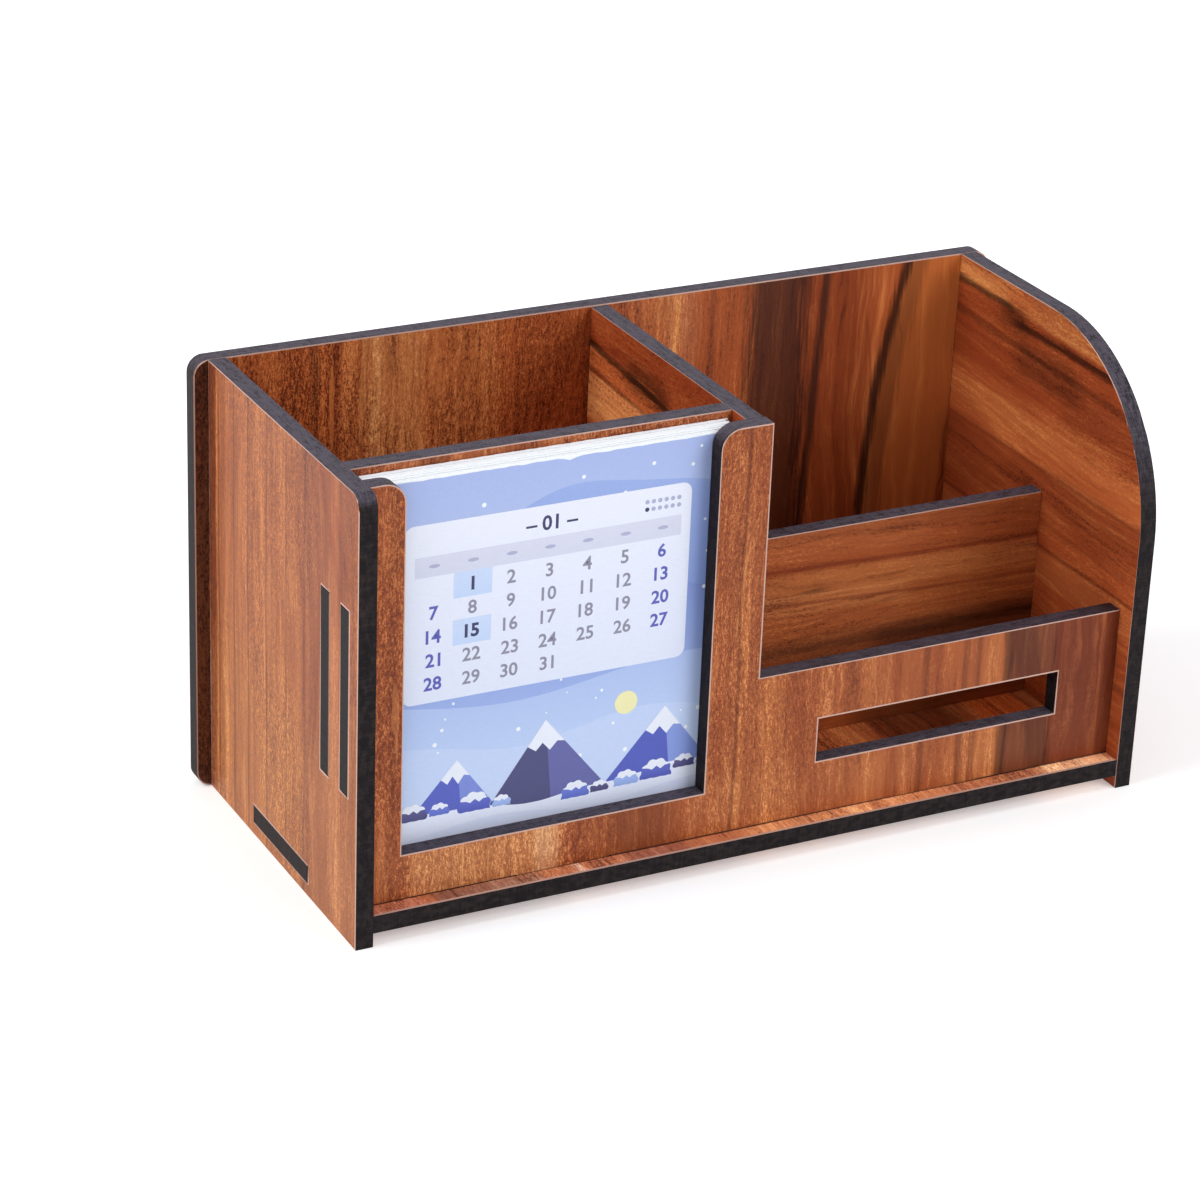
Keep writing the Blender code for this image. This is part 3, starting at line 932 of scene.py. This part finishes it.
# The layers of the print, each one ink step over the last, and the share of the step that a layer fills
SKY, SPECKS, FAR, NEAR, FIELD, PANEL, BLOCKS, LETTERS = range(8)
LAYER_FILL = 0.8
# Bare card left at the sides and the foot
BLEED = 0.12
# Left, low, right and high end, and radius of the corners
PANEL_BOX = (8.1, 42.1, 74.0, 82.5, 2.2)
HEADER_BOX = (10.6, 70.7, 71.8, 75.3, 0.3)
FIRST_COLUMN, COLUMN_PITCH = 15.0, 8.75
FIRST_ROW, ROW_PITCH = 67.8, 5.35
# Share of the row pitch that is left where a month has six rows
SIXTH_ROW_SQUEEZE = 0.86
MARK_HALF_HEIGHT = 2.9
TITLE_PLACE = (41.5, 78.5)
PIPS_PLACE = (67.3, 78.5)
DAYS_IN_WEEK = 7
WEEK_REACH = COLUMN_PITCH * (DAYS_IN_WEEK - 1)
HEADER_MIDDLE = (FIRST_COLUMN + WEEK_REACH / 2, (HEADER_BOX[1] + HEADER_BOX[3]) / 2)
MONTH_LENGTHS = (31, 28, 31, 30, 31, 30, 31, 31, 30, 31, 30, 31)
FIRST_WEEKDAY = 1
MARKED_DAYS = (1, 15)


def card_at(number):
    """The card of that number, read from its CAD node."""
    node = f"calendar_card_{number:02d}"
    low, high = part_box(node)
    width, height = (high.x - low.x) / MM, (high.z - low.z) / MM
    return Card(number, node, f"card_{number:02d}", low.x, low.z, low.y, width, height)


def on_card(card, across, up, lift):
    """A point of the print in metres; lift is the distance in front of the card's face."""
    return Vector((card.left + across * MM, card.front - lift, card.low + up * MM))


def stand_up(mesh, card, across, up, lift):
    """Stands a flat mesh, drawn in millimetres and facing up, on the card's face."""
    scale = Matrix.Diagonal((MM, MM, MM, 1.0))
    turn = Matrix.Rotation(pi / 2, 4, "X")
    mesh.transform(Matrix.Translation(on_card(card, across, up, lift)) @ turn @ scale)


def tinted(display, month):
    """A print colour turned round the colour wheel by the month, the first month unturned."""
    hue, saturation, value = rgb_to_hsv(*(c / 255 for c in display))
    turned = hsv_to_rgb((hue - (month - 1) / len(MONTH_LENGTHS)) % 1.0, saturation, value)
    return tuple(255 * c for c in turned)


class Print:
    """Collects the printed shapes of one card in one mesh, coloured by the ink attribute."""

    def __init__(self, card, look):
        self.card = card
        self.look = look
        self.bm = bmesh.new()
        self.ink = self.bm.loops.layers.float_color.new("ink")

    def shape(self, outline, level, low_colour, high_colour=None, plain=False):
        """A thin closed shape, drawn anticlockwise, shaded from its lowest to its highest point."""
        card, step = self.card, self.look.ink_step
        face = self.bm.faces.new([self.bm.verts.new(on_card(card, u, v, step * level)) for u, v in outline])
        drawn = bmesh.ops.extrude_face_region(self.bm, geom=[face])["geom"]
        raised = [item for item in drawn if isinstance(item, bmesh.types.BMVert)]
        for vert in raised:
            vert.co.y -= step * LAYER_FILL
        heights = [v for _, v in outline]
        low, high = (card.low + pick(heights) * MM for pick in (min, max))
        colours = (low_colour, high_colour or low_colour)
        start, end = (Vector(linear(tone if plain else tinted(tone, card.number))) for tone in colours)
        faces = {f for vert in raised for f in vert.link_faces} | {face}
        for corner in (loop for f in faces for loop in f.loops):
            share = (corner.vert.co.z - low) / (high - low)
            corner[self.ink] = (*start.lerp(end, share), 1.0)

    def mesh(self, name):
        """The finished mesh."""
        bmesh.ops.recalc_face_normals(self.bm, faces=self.bm.faces)
        bmesh.ops.triangulate(self.bm, faces=[f for f in self.bm.faces if len(f.verts) > 4])
        mesh = bpy.data.meshes.new(name)
        self.bm.to_mesh(mesh)
        self.bm.free()
        mesh.materials.append(paper_material("printed_card", None, cloud=0.05, roughness=0.42))
        return mesh


def wave(base, *swells):
    """A height that swells along the card; each swell is a height, a length and a shift."""
    return lambda u: base + sum(h * sin(2 * pi * (u + shift) / length) for h, length, shift in swells)


def torn_top(card, look):
    """Upper limit of the print: it stops short of the torn edge and shows bare card in places."""
    rough_depth, scar_depth = 0.35, 0.75
    scar_middle, scar_reach = 44.0 + card.number, 4.5

    def height(u):
        rough = rough_depth * abs(noise.noise(Vector((u * 0.45, card.number * 7.0, 0.0))))
        nearness = max(0.0, 1 - abs(u - scar_middle) / scar_reach)
        scar = scar_depth * nearness * (0.6 + 0.4 * sin(u * 3.1))
        return card.height - look.deckle / MM - BLEED - rough - scar

    return height


def strip(sheet, upper, lower, level, *colours, steps=56):
    """A shape between two heights that vary along the card, from side to side of it."""
    left, right = BLEED, sheet.card.width - BLEED
    places = [left + (right - left) * i / steps for i in range(steps + 1)]
    outline = [(u, lower(u)) for u in places] + [(u, upper(u)) for u in reversed(places)]
    sheet.shape(outline, level, *colours)


def foot(u):
    """The lower limit of the print."""
    return BLEED


# Lower limit of each band of sky or hill, and its colours at the foot and at the top
HILLS = (
    (wave(81.5, (4.6, 92.0, 60.0), (0.9, 37.0, 3.0)), (172, 190, 233), (165, 181, 229)),
    (wave(62.0, (5.0, 78.0, 50.0)), (134, 156, 218), (150, 172, 226)),
    (wave(41.0, (2.2, 84.0, 30.0)), (152, 174, 228), (118, 138, 208)),
    (wave(30.0, (2.0, 58.0, 8.0)), (184, 204, 241), (170, 190, 235)),
    (foot, (200, 217, 246), (190, 208, 244)),
)
DRIFTS = (
    (wave(15.6, (1.3, 70.0, 12.0), (0.4, 23.0, 2.0)), NEAR, (212, 220, 245), (228, 234, 250)),
    (wave(11.6, (1.1, 48.0, 30.0)), FIELD, (232, 237, 251), (212, 221, 246)),
)


def draw_sky(sheet):
    """Sky and soft hills, each band from the one above down to its own foot."""
    upper = torn_top(sheet.card, sheet.look)
    for lower, low_colour, high_colour in HILLS:
        strip(sheet, upper, lower, SKY, low_colour, high_colour)
        upper = lower


def draw_snow(sheet):
    """Two drifts along the foot of the print."""
    for drift, level, low_colour, high_colour in DRIFTS:
        strip(sheet, drift, foot, level, low_colour, high_colour)


# Left foot, summit, right foot and height of each mountain, and its shaded and its lit colour
PEAKS = (
    (9.0, 21.0, 31.0, 27.5, (78, 92, 188), (118, 136, 212)),
    (28.0, 41.5, 57.0, 33.0, (66, 68, 118), (92, 96, 160)),
    (55.0, 70.0, 83.0, 31.0, (74, 88, 184), (128, 150, 218)),
)
FOOT = 14.0
FOLD_SHARE = 0.06
CAP_SHARE = 0.3
CAP_COLOUR = (232, 237, 250)
# The cap's lower edge: share of its width, and height over its foot
CAP_TEETH = ((0, 0), (0.22, -1.3), (0.4, 0.4), (0.6, -1.6), (0.8, 0.3), (1, 0))


def draw_peaks(sheet):
    """Mountains with a shaded and a lit side and a jagged snowcap."""
    for left, top_at, right, top, shade, lit in PEAKS:
        fold = top_at + (right - left) * FOLD_SHARE
        summit = (top_at, top)
        sheet.shape([(left, FOOT), (fold, FOOT), summit], FAR, shade)
        sheet.shape([(fold, FOOT), (right, FOOT), summit], FAR, lit)
        west, east = (top_at + (side - top_at) * CAP_SHARE for side in (left, right))
        cap_foot = top - (top - FOOT) * CAP_SHARE
        teeth = [(west + (east - west) * share, cap_foot + rise) for share, rise in CAP_TEETH]
        sheet.shape([*teeth, summit], NEAR, CAP_COLOUR)


MOON = (60.5, 33.5, 2.7)
MOON_COLOUR = (238, 234, 178)
# Place, radius and colour of each shrub
SHRUBS = (
    (11.0, 15.8, 3.3, (64, 62, 120)), (17.1, 15.9, 2.4, (86, 104, 196)), (25.2, 15.6, 3.8, (72, 84, 180)),
    (31.6, 15.2, 2.2, (146, 172, 226)), (49.0, 13.9, 3.3, (86, 104, 196)), (54.8, 14.0, 2.2, (62, 60, 110)),
    (61.2, 14.4, 3.0, (140, 166, 224)), (68.4, 14.9, 3.8, (70, 82, 178)), (75.2, 16.0, 2.6, (64, 62, 120)),
    (80.6, 16.2, 2.5, (146, 172, 226)),
)
SHRUB_TEETH = ((-0.5, 0.42), (-0.25, 0.3), (0.05, 0.5), (0.3, 0.28), (0.55, 0.45))


def draw_moon(sheet):
    """A plain round moon low over the peaks."""
    across, up, radius = MOON
    points = 32
    turns = [2 * pi * i / points for i in range(points)]
    outline = [(across + radius * cos(turn), up + radius * sin(turn)) for turn in turns]
    sheet.shape(outline, FAR, MOON_COLOUR, plain=sheet.card.number == 1)


def draw_shrubs(sheet):
    """Round, scalloped shrubs along the drift, capped with snow, their feet in it."""
    points = 48
    for across, up, radius, colour in SHRUBS:
        crown, cap = [], []
        for i in range(points):
            turn = 2 * pi * i / points
            reach = radius * (0.9 + 0.14 * abs(sin(4.5 * turn + across)))
            crown.append((across + reach * cos(turn), up + reach * max(sin(turn), -0.25) * 0.95))
            if 4 <= i <= 20:
                cap.append(crown[-1])
        cap += [(across + radius * share, up + radius * rise) for share, rise in SHRUB_TEETH]
        light = tuple(min(255, c + 26) for c in colour)
        sheet.shape(crown, FIELD, colour, light)
        sheet.shape(cap, PANEL, CAP_COLOUR)


def rounded_box(low_u, low_v, high_u, high_v, radius, steps=6):
    """Outline of a box with round corners, anticlockwise."""
    corners = (
        (high_u - radius, low_v + radius, -pi / 2), (high_u - radius, high_v - radius, 0.0),
        (low_u + radius, high_v - radius, pi / 2), (low_u + radius, low_v + radius, pi),
    )
    return [
        (u + radius * cos(start + pi / 2 * i / steps), v + radius * sin(start + pi / 2 * i / steps))
        for u, v, start in corners for i in range(steps + 1)
    ]


def draw_panel(sheet):
    """The pale panel of the days, its header band and the squares behind the marked days."""
    sheet.shape(rounded_box(*PANEL_BOX), PANEL, (221, 228, 247), (233, 236, 250))
    sheet.shape(rounded_box(*HEADER_BOX), BLOCKS, (210, 213, 233), (214, 216, 235))
    half, tall = COLUMN_PITCH / 2, MARK_HALF_HEIGHT
    for day in MARKED_DAYS:
        across, up = day_place(sheet.card.number, day)
        box = rounded_box(across - half, up - tall, across + half, up + tall, 0.2)
        sheet.shape(box, BLOCKS, (194, 213, 246), (200, 217, 247))


def day_place(month, day):
    """Middle of a day's number on the card."""
    start = (FIRST_WEEKDAY + sum(MONTH_LENGTHS[: month - 1])) % DAYS_IN_WEEK
    row, column = divmod(start + day - 1, DAYS_IN_WEEK)
    five_rows = start + MONTH_LENGTHS[month - 1] <= 5 * DAYS_IN_WEEK
    pitch = ROW_PITCH if five_rows else ROW_PITCH * SIXTH_ROW_SQUEEZE
    return FIRST_COLUMN + column * COLUMN_PITCH, FIRST_ROW - row * pitch


def lettering(text, stroke):
    """Plain numbers as a closed mesh, centred on the origin, one unit tall and one unit thick."""
    curve = bpy.data.curves.new("lettering", "FONT")
    curve.body = text
    curve.resolution_u = 3
    curve.offset = stroke
    curve.extrude = 0.5
    mesh = plain_mesh(put("lettering", curve))
    points = [vert.co for vert in mesh.vertices]
    low, high = (Vector(map(pick, zip(*points))) for pick in (min, max))
    mesh.transform(Matrix.Translation(-(low + high) / 2))
    tall = high.y - low.y
    mesh.transform(Matrix.Diagonal((1 / tall, 1 / tall, 1.0, 1.0)))
    return mesh


STROKES = {"day": 0.018, "rest": 0.024, "marked": 0.034}
TITLE_STROKE = 0.022


def number_ink(kind, look):
    """Ink of one kind of number: of a plain day, a rest day or a marked one."""
    return paper_material(f"ink_{kind}", getattr(look, f"{kind}_colour"), cloud=0.08, roughness=0.45)


def set_number(card, look, text, kind, stroke, height, place):
    """One number set on the card as its own mesh."""
    mesh = lettering(text, stroke)
    size = height / MM
    mesh.transform(Matrix.Diagonal((size, size, look.ink_step * LAYER_FILL / MM, 1.0)))
    stand_up(mesh, card, *place, look.ink_step * (LETTERS + LAYER_FILL / 2))
    mesh.materials.append(number_ink(kind, look))
    return mesh


def joined_mesh(name, meshes):
    """Several meshes as one, which keeps their materials."""
    bm = bmesh.new()
    materials = list(dict.fromkeys(material for mesh in meshes for material in mesh.materials))
    for mesh in meshes:
        start = len(bm.faces)
        bm.from_mesh(mesh)
        bm.faces.ensure_lookup_table()
        for face in bm.faces[start:]:
            face.material_index = materials.index(mesh.materials[face.material_index])
    bmesh.ops.remove_doubles(bm, verts=bm.verts, dist=1e-7)
    joined = bpy.data.meshes.new(name)
    bm.to_mesh(joined)
    bm.free()
    for material in materials:
        joined.materials.append(material)
    return joined


def make_stock(card, look):
    """The bare card, torn along its upper edge, in place of its CAD node."""
    thickness = look.stock_thickness * (1 + 0.2 * sin(2.4 * card.number))
    mesh = grow(
        card_stock, width=card.width, height=card.height, thickness=thickness / MM,
        deckle=look.deckle / MM, seed=card.number * 5.3,
        material=paper_material("card_stock", look.stock_colour, cloud=0.05, roughness=0.62),
    )
    stand_up(mesh, card, card.width / 2, card.height / 2, -thickness)
    mesh.name = f"card_{card.number:02d}_stock"
    add_piece(mesh, card.body, "calendar_card", card.node)


def make_print(card, look):
    """The printed picture and the pale panel of one card."""
    sheet = Print(card, look)
    for draw in (draw_sky, draw_peaks, draw_moon, draw_snow, draw_shrubs, draw_panel):
        draw(sheet)
    add_piece(sheet.mesh(f"card_{card.number:02d}_print"), card.body, "calendar_card")


def make_numbers(card, look):
    """The numbers of the days and, as a title, of the month."""
    title = f"\u2013 {card.number:02d} \u2013"
    meshes = [set_number(card, look, title, "marked", TITLE_STROKE, look.title_height, TITLE_PLACE)]
    for day in range(1, MONTH_LENGTHS[card.number - 1] + 1):
        place = day_place(card.number, day)
        column = round((place[0] - FIRST_COLUMN) / COLUMN_PITCH)
        kind = "marked" if day in MARKED_DAYS else "rest" if column in (0, DAYS_IN_WEEK - 1) else "day"
        meshes.append(set_number(card, look, str(day), kind, STROKES[kind], look.number_height, place))
    add_piece(joined_mesh(f"card_{card.number:02d}_numbers", meshes), card.body, "calendar_card")


def make_specks(card, look):
    """White specks on the sky, a mark over each weekday and one pip for each month."""
    white = paper_material("ink_white", linear((240, 244, 252)), cloud=0.03, roughness=0.5)
    pale = paper_material("ink_pale", linear((172, 174, 204)), cloud=0.05, roughness=0.5)
    thickness = look.ink_step * LAYER_FILL / MM
    side, low, top = 1.5, 18.0, 2.5
    patch = flat_sheet("patch", side, low, card.width - side, card.height - top)
    specks = grow(
        scattered_specks, patch, density=0.011, radius=0.42, thickness=thickness,
        seed=look.scatter_seed + card.number, material=white,
    )
    stand_up(specks, card, 0.0, 0.0, look.ink_step * SPECKS)
    weekdays = grow(
        mark_rows, columns=DAYS_IN_WEEK, rows=1, reach=WEEK_REACH, rise=0.0, half_length=1.25,
        half_height=0.42, thickness=thickness, chosen=-1, only_chosen=False, material=pale,
    )
    pips = [
        grow(
            mark_rows, columns=6, rows=2, reach=7.5, rise=1.7, half_length=0.5, half_height=0.5,
            thickness=thickness, chosen=card.number - 1, only_chosen=alone, material=ink,
        )
        for alone, ink in ((False, pale), (True, number_ink("marked", look)))
    ]
    for mesh, place in zip((weekdays, *pips), (HEADER_MIDDLE, PIPS_PLACE, PIPS_PLACE)):
        stand_up(mesh, card, *place, look.ink_step * LETTERS)
    mesh = joined_mesh(f"card_{card.number:02d}_specks", [specks, weekdays, *pips])
    add_piece(mesh, card.body, "calendar_card")


def build_cards(make, context):
    """Makes the like pieces of all cards, for their operator."""
    for number in range(1, CARD_COUNT + 1):
        make(card_at(number), context.scene.pen_stand_cards)
    return {"FINISHED"}


# Studio


def seen_directly(graph):
    """One where a surface is seen by the camera, or in gloss or glass."""
    paths = graph.outputs("ShaderNodeLightPath")
    seen = graph.math("MAXIMUM", paths["Is Camera Ray"], paths["Is Glossy Ray"])
    return graph.math("MAXIMUM", seen, paths["Is Transmission Ray"])


def floor_material(look):
    """Plain pale desk that fades to white away from the stand and keeps its shadow near it."""
    material, graph, shader = new_material("desk")
    fade_start, fade_end = 120.0, 700.0
    place = pattern_place(graph)
    cloud = graph.smooth(graph.grain(place, (0.01, 0.01, 0.01)), 0.3, 0.7)
    edge = [c * 0.985 for c in look.floor_colour]
    distance = graph.outputs("ShaderNodeVectorMath", {0: place}, operation="LENGTH")["Value"]
    glow = graph.smooth(distance, fade_start, fade_end, look.floor_glow, 1.0) * seen_directly(graph)
    values = {
        "Base Color": graph.blend(cloud, (*edge, 1.0), (*look.floor_colour, 1.0)),
        "Emission Strength": glow, "Emission Color": (1.0, 1.0, 1.0, 1.0),
        "Roughness": 0.75, "Specular IOR Level": 0.2,
    }
    feed_shader(graph, shader, values)
    return material


def make_floor(look):
    """A wide desk top at the foot of the stand."""
    reach = 6.0
    mesh = flat_sheet("desk", -reach, -reach, reach, reach)
    mesh.materials.append(floor_material(look))
    put("desk", mesh)


def make_world(look):
    """Even light from all round that the camera sees as white."""
    world = bpy.data.worlds.new("studio")
    world.use_nodes = True
    graph = Graph(world.node_tree)
    lit = graph.add("ShaderNodeBackground", {"Color": (0.96, 0.98, 1.0, 1.0), "Strength": look.ambient})
    white = graph.add("ShaderNodeBackground", {"Color": (1.0, 1.0, 1.0, 1.0), "Strength": 1.0})
    mix = graph.add("ShaderNodeMixShader", {0: seen_directly(graph), 1: lit, 2: white})
    graph.feed(world.node_tree.nodes["World Output"].inputs["Surface"], mix)
    bpy.context.scene.world = world


def make_lamp(name, place, size, energy, colour):
    """A square soft lamp aimed at the middle of the stand."""
    lamp = bpy.data.lights.new(name, "AREA")
    lamp.shape = "SQUARE"
    lamp.size = size
    lamp.energy = energy
    lamp.color = colour
    holder = put(name, lamp)
    holder.location = place
    direction = (cad_low + cad_high) / 2 - holder.location
    holder.rotation_euler = direction.to_track_quat("-Z", "Y").to_euler()


def make_camera(look):
    """Camera at the photographed angle."""
    camera = bpy.data.cameras.new("camera")
    camera.sensor_fit = "HORIZONTAL"
    camera.sensor_width = 36.0
    camera.lens = look.lens
    holder = put("camera", camera)
    holder.location = look.camera_place
    level = cos(look.pitch)
    view = Vector((sin(look.heading) * level, cos(look.heading) * level, -sin(look.pitch)))
    turn = view.to_track_quat("-Z", "Y") @ Quaternion((0.0, 0.0, 1.0), look.roll)
    holder.rotation_euler = turn.to_euler()
    bpy.context.scene.camera = holder


# Operators


class PENSTAND_OT_back_board(bpy.types.Operator):
    """Full-width board behind everything, with four round corners"""

    bl_idname = "pen_stand.back_board"
    bl_label = "Back Board"

    def execute(self, context):
        return build_board("back_panel", context)


class PENSTAND_OT_left_board(bpy.types.Operator):
    """Tall side board with flush tab ends on its outer face"""

    bl_idname = "pen_stand.left_board"
    bl_label = "Left Board"

    def execute(self, context):
        return build_board("left_panel", context)


class PENSTAND_OT_right_board(bpy.types.Operator):
    """Side board whose top falls to the front in a large arc"""

    bl_idname = "pen_stand.right_board"
    bl_label = "Right Board"

    def execute(self, context):
        return build_board("right_panel", context)


class PENSTAND_OT_base_board(bpy.types.Operator):
    """Level board between the sides"""

    bl_idname = "pen_stand.base_board"
    bl_label = "Base Board"

    def execute(self, context):
        return build_board("base_panel", context)


class PENSTAND_OT_front_board(bpy.types.Operator):
    """Front board with the card window, the low wall and the letter slot"""

    bl_idname = "pen_stand.front_board"
    bl_label = "Front Board"

    def execute(self, context):
        return build_board("front_panel", context)


class PENSTAND_OT_pocket_board(bpy.types.Operator):
    """Board between the cards and the pen box"""

    bl_idname = "pen_stand.pocket_board"
    bl_label = "Pocket Board"

    def execute(self, context):
        return build_board("pocket_back_panel", context)


class PENSTAND_OT_divider_board(bpy.types.Operator):
    """Mid-height board between the two bins"""

    bl_idname = "pen_stand.divider_board"
    bl_label = "Bin Divider"

    def execute(self, context):
        return build_board("bin_divider", context)


class PENSTAND_OT_partition_board(bpy.types.Operator):
    """Full-height board between the pen box and the bins"""

    bl_idname = "pen_stand.partition_board"
    bl_label = "Partition"

    def execute(self, context):
        return build_board("partition_panel", context)


class PENSTAND_OT_card_stock(bpy.types.Operator):
    """Bare calendar cards, torn along their upper edge"""

    bl_idname = "pen_stand.card_stock"
    bl_label = "Card Stock"

    def execute(self, context):
        return build_cards(make_stock, context)


class PENSTAND_OT_card_prints(bpy.types.Operator):
    """Printed picture and panel of every card"""

    bl_idname = "pen_stand.card_prints"
    bl_label = "Card Prints"

    def execute(self, context):
        return build_cards(make_print, context)


class PENSTAND_OT_card_numbers(bpy.types.Operator):
    """Numbers of the days on every card"""

    bl_idname = "pen_stand.card_numbers"
    bl_label = "Card Numbers"

    def execute(self, context):
        return build_cards(make_numbers, context)


class PENSTAND_OT_card_specks(bpy.types.Operator):
    """Specks, weekday marks and month pips on every card"""

    bl_idname = "pen_stand.card_specks"
    bl_label = "Card Specks"

    def execute(self, context):
        return build_cards(make_specks, context)


class PENSTAND_OT_stage(bpy.types.Operator):
    """Desk top, soft lights and camera"""

    bl_idname = "pen_stand.stage"
    bl_label = "Stage"

    def execute(self, context):
        look = context.scene.pen_stand_studio
        context.scene.view_settings.view_transform = "Standard"
        make_floor(look)
        make_world(look)
        make_lamp("key_lamp", (-1.05, 0.1, 0.95), 0.8, look.key_power, (1.0, 0.99, 0.97))
        make_lamp("fill_lamp", (0.75, -1.05, 0.8), 0.8, look.fill_power, (0.97, 0.98, 1.0))
        make_camera(look)
        return {"FINISHED"}


OPERATORS = (
    PENSTAND_OT_back_board,
    PENSTAND_OT_left_board,
    PENSTAND_OT_right_board,
    PENSTAND_OT_base_board,
    PENSTAND_OT_front_board,
    PENSTAND_OT_pocket_board,
    PENSTAND_OT_divider_board,
    PENSTAND_OT_partition_board,
    PENSTAND_OT_card_stock,
    PENSTAND_OT_card_prints,
    PENSTAND_OT_card_numbers,
    PENSTAND_OT_card_specks,
    PENSTAND_OT_stage,
)


class PENSTAND_PT_pieces(bpy.types.Panel):
    """Lists the pieces of the pen stand"""

    bl_idname = "PENSTAND_PT_pieces"
    bl_label = "Calendar Pen Stand"
    bl_space_type = "VIEW_3D"
    bl_region_type = "UI"
    bl_category = "Pen Stand"

    def draw(self, context):
        for operator in OPERATORS:
            self.layout.operator(operator.bl_idname)


SETTINGS = {
    "pen_stand_boards": BoardSettings,
    "pen_stand_cards": CardSettings,
    "pen_stand_studio": StudioSettings,
}


def register():
    """Registers the settings, the operators and the panel."""
    for name, settings in SETTINGS.items():
        bpy.utils.register_class(settings)
        setattr(bpy.types.Scene, name, PointerProperty(type=settings))
    for part in (*OPERATORS, PENSTAND_PT_pieces):
        bpy.utils.register_class(part)


def unregister():
    """Takes them away again."""
    for part in (PENSTAND_PT_pieces, *reversed(OPERATORS)):
        bpy.utils.unregister_class(part)
    for name, settings in SETTINGS.items():
        delattr(bpy.types.Scene, name)
        bpy.utils.unregister_class(settings)


def main():
    """Makes every piece and the stage."""
    register()
    for operator in OPERATORS:
        group, name = operator.bl_idname.split(".")
        getattr(getattr(bpy.ops, group), name)()


if __name__ == "__main__":
    main()
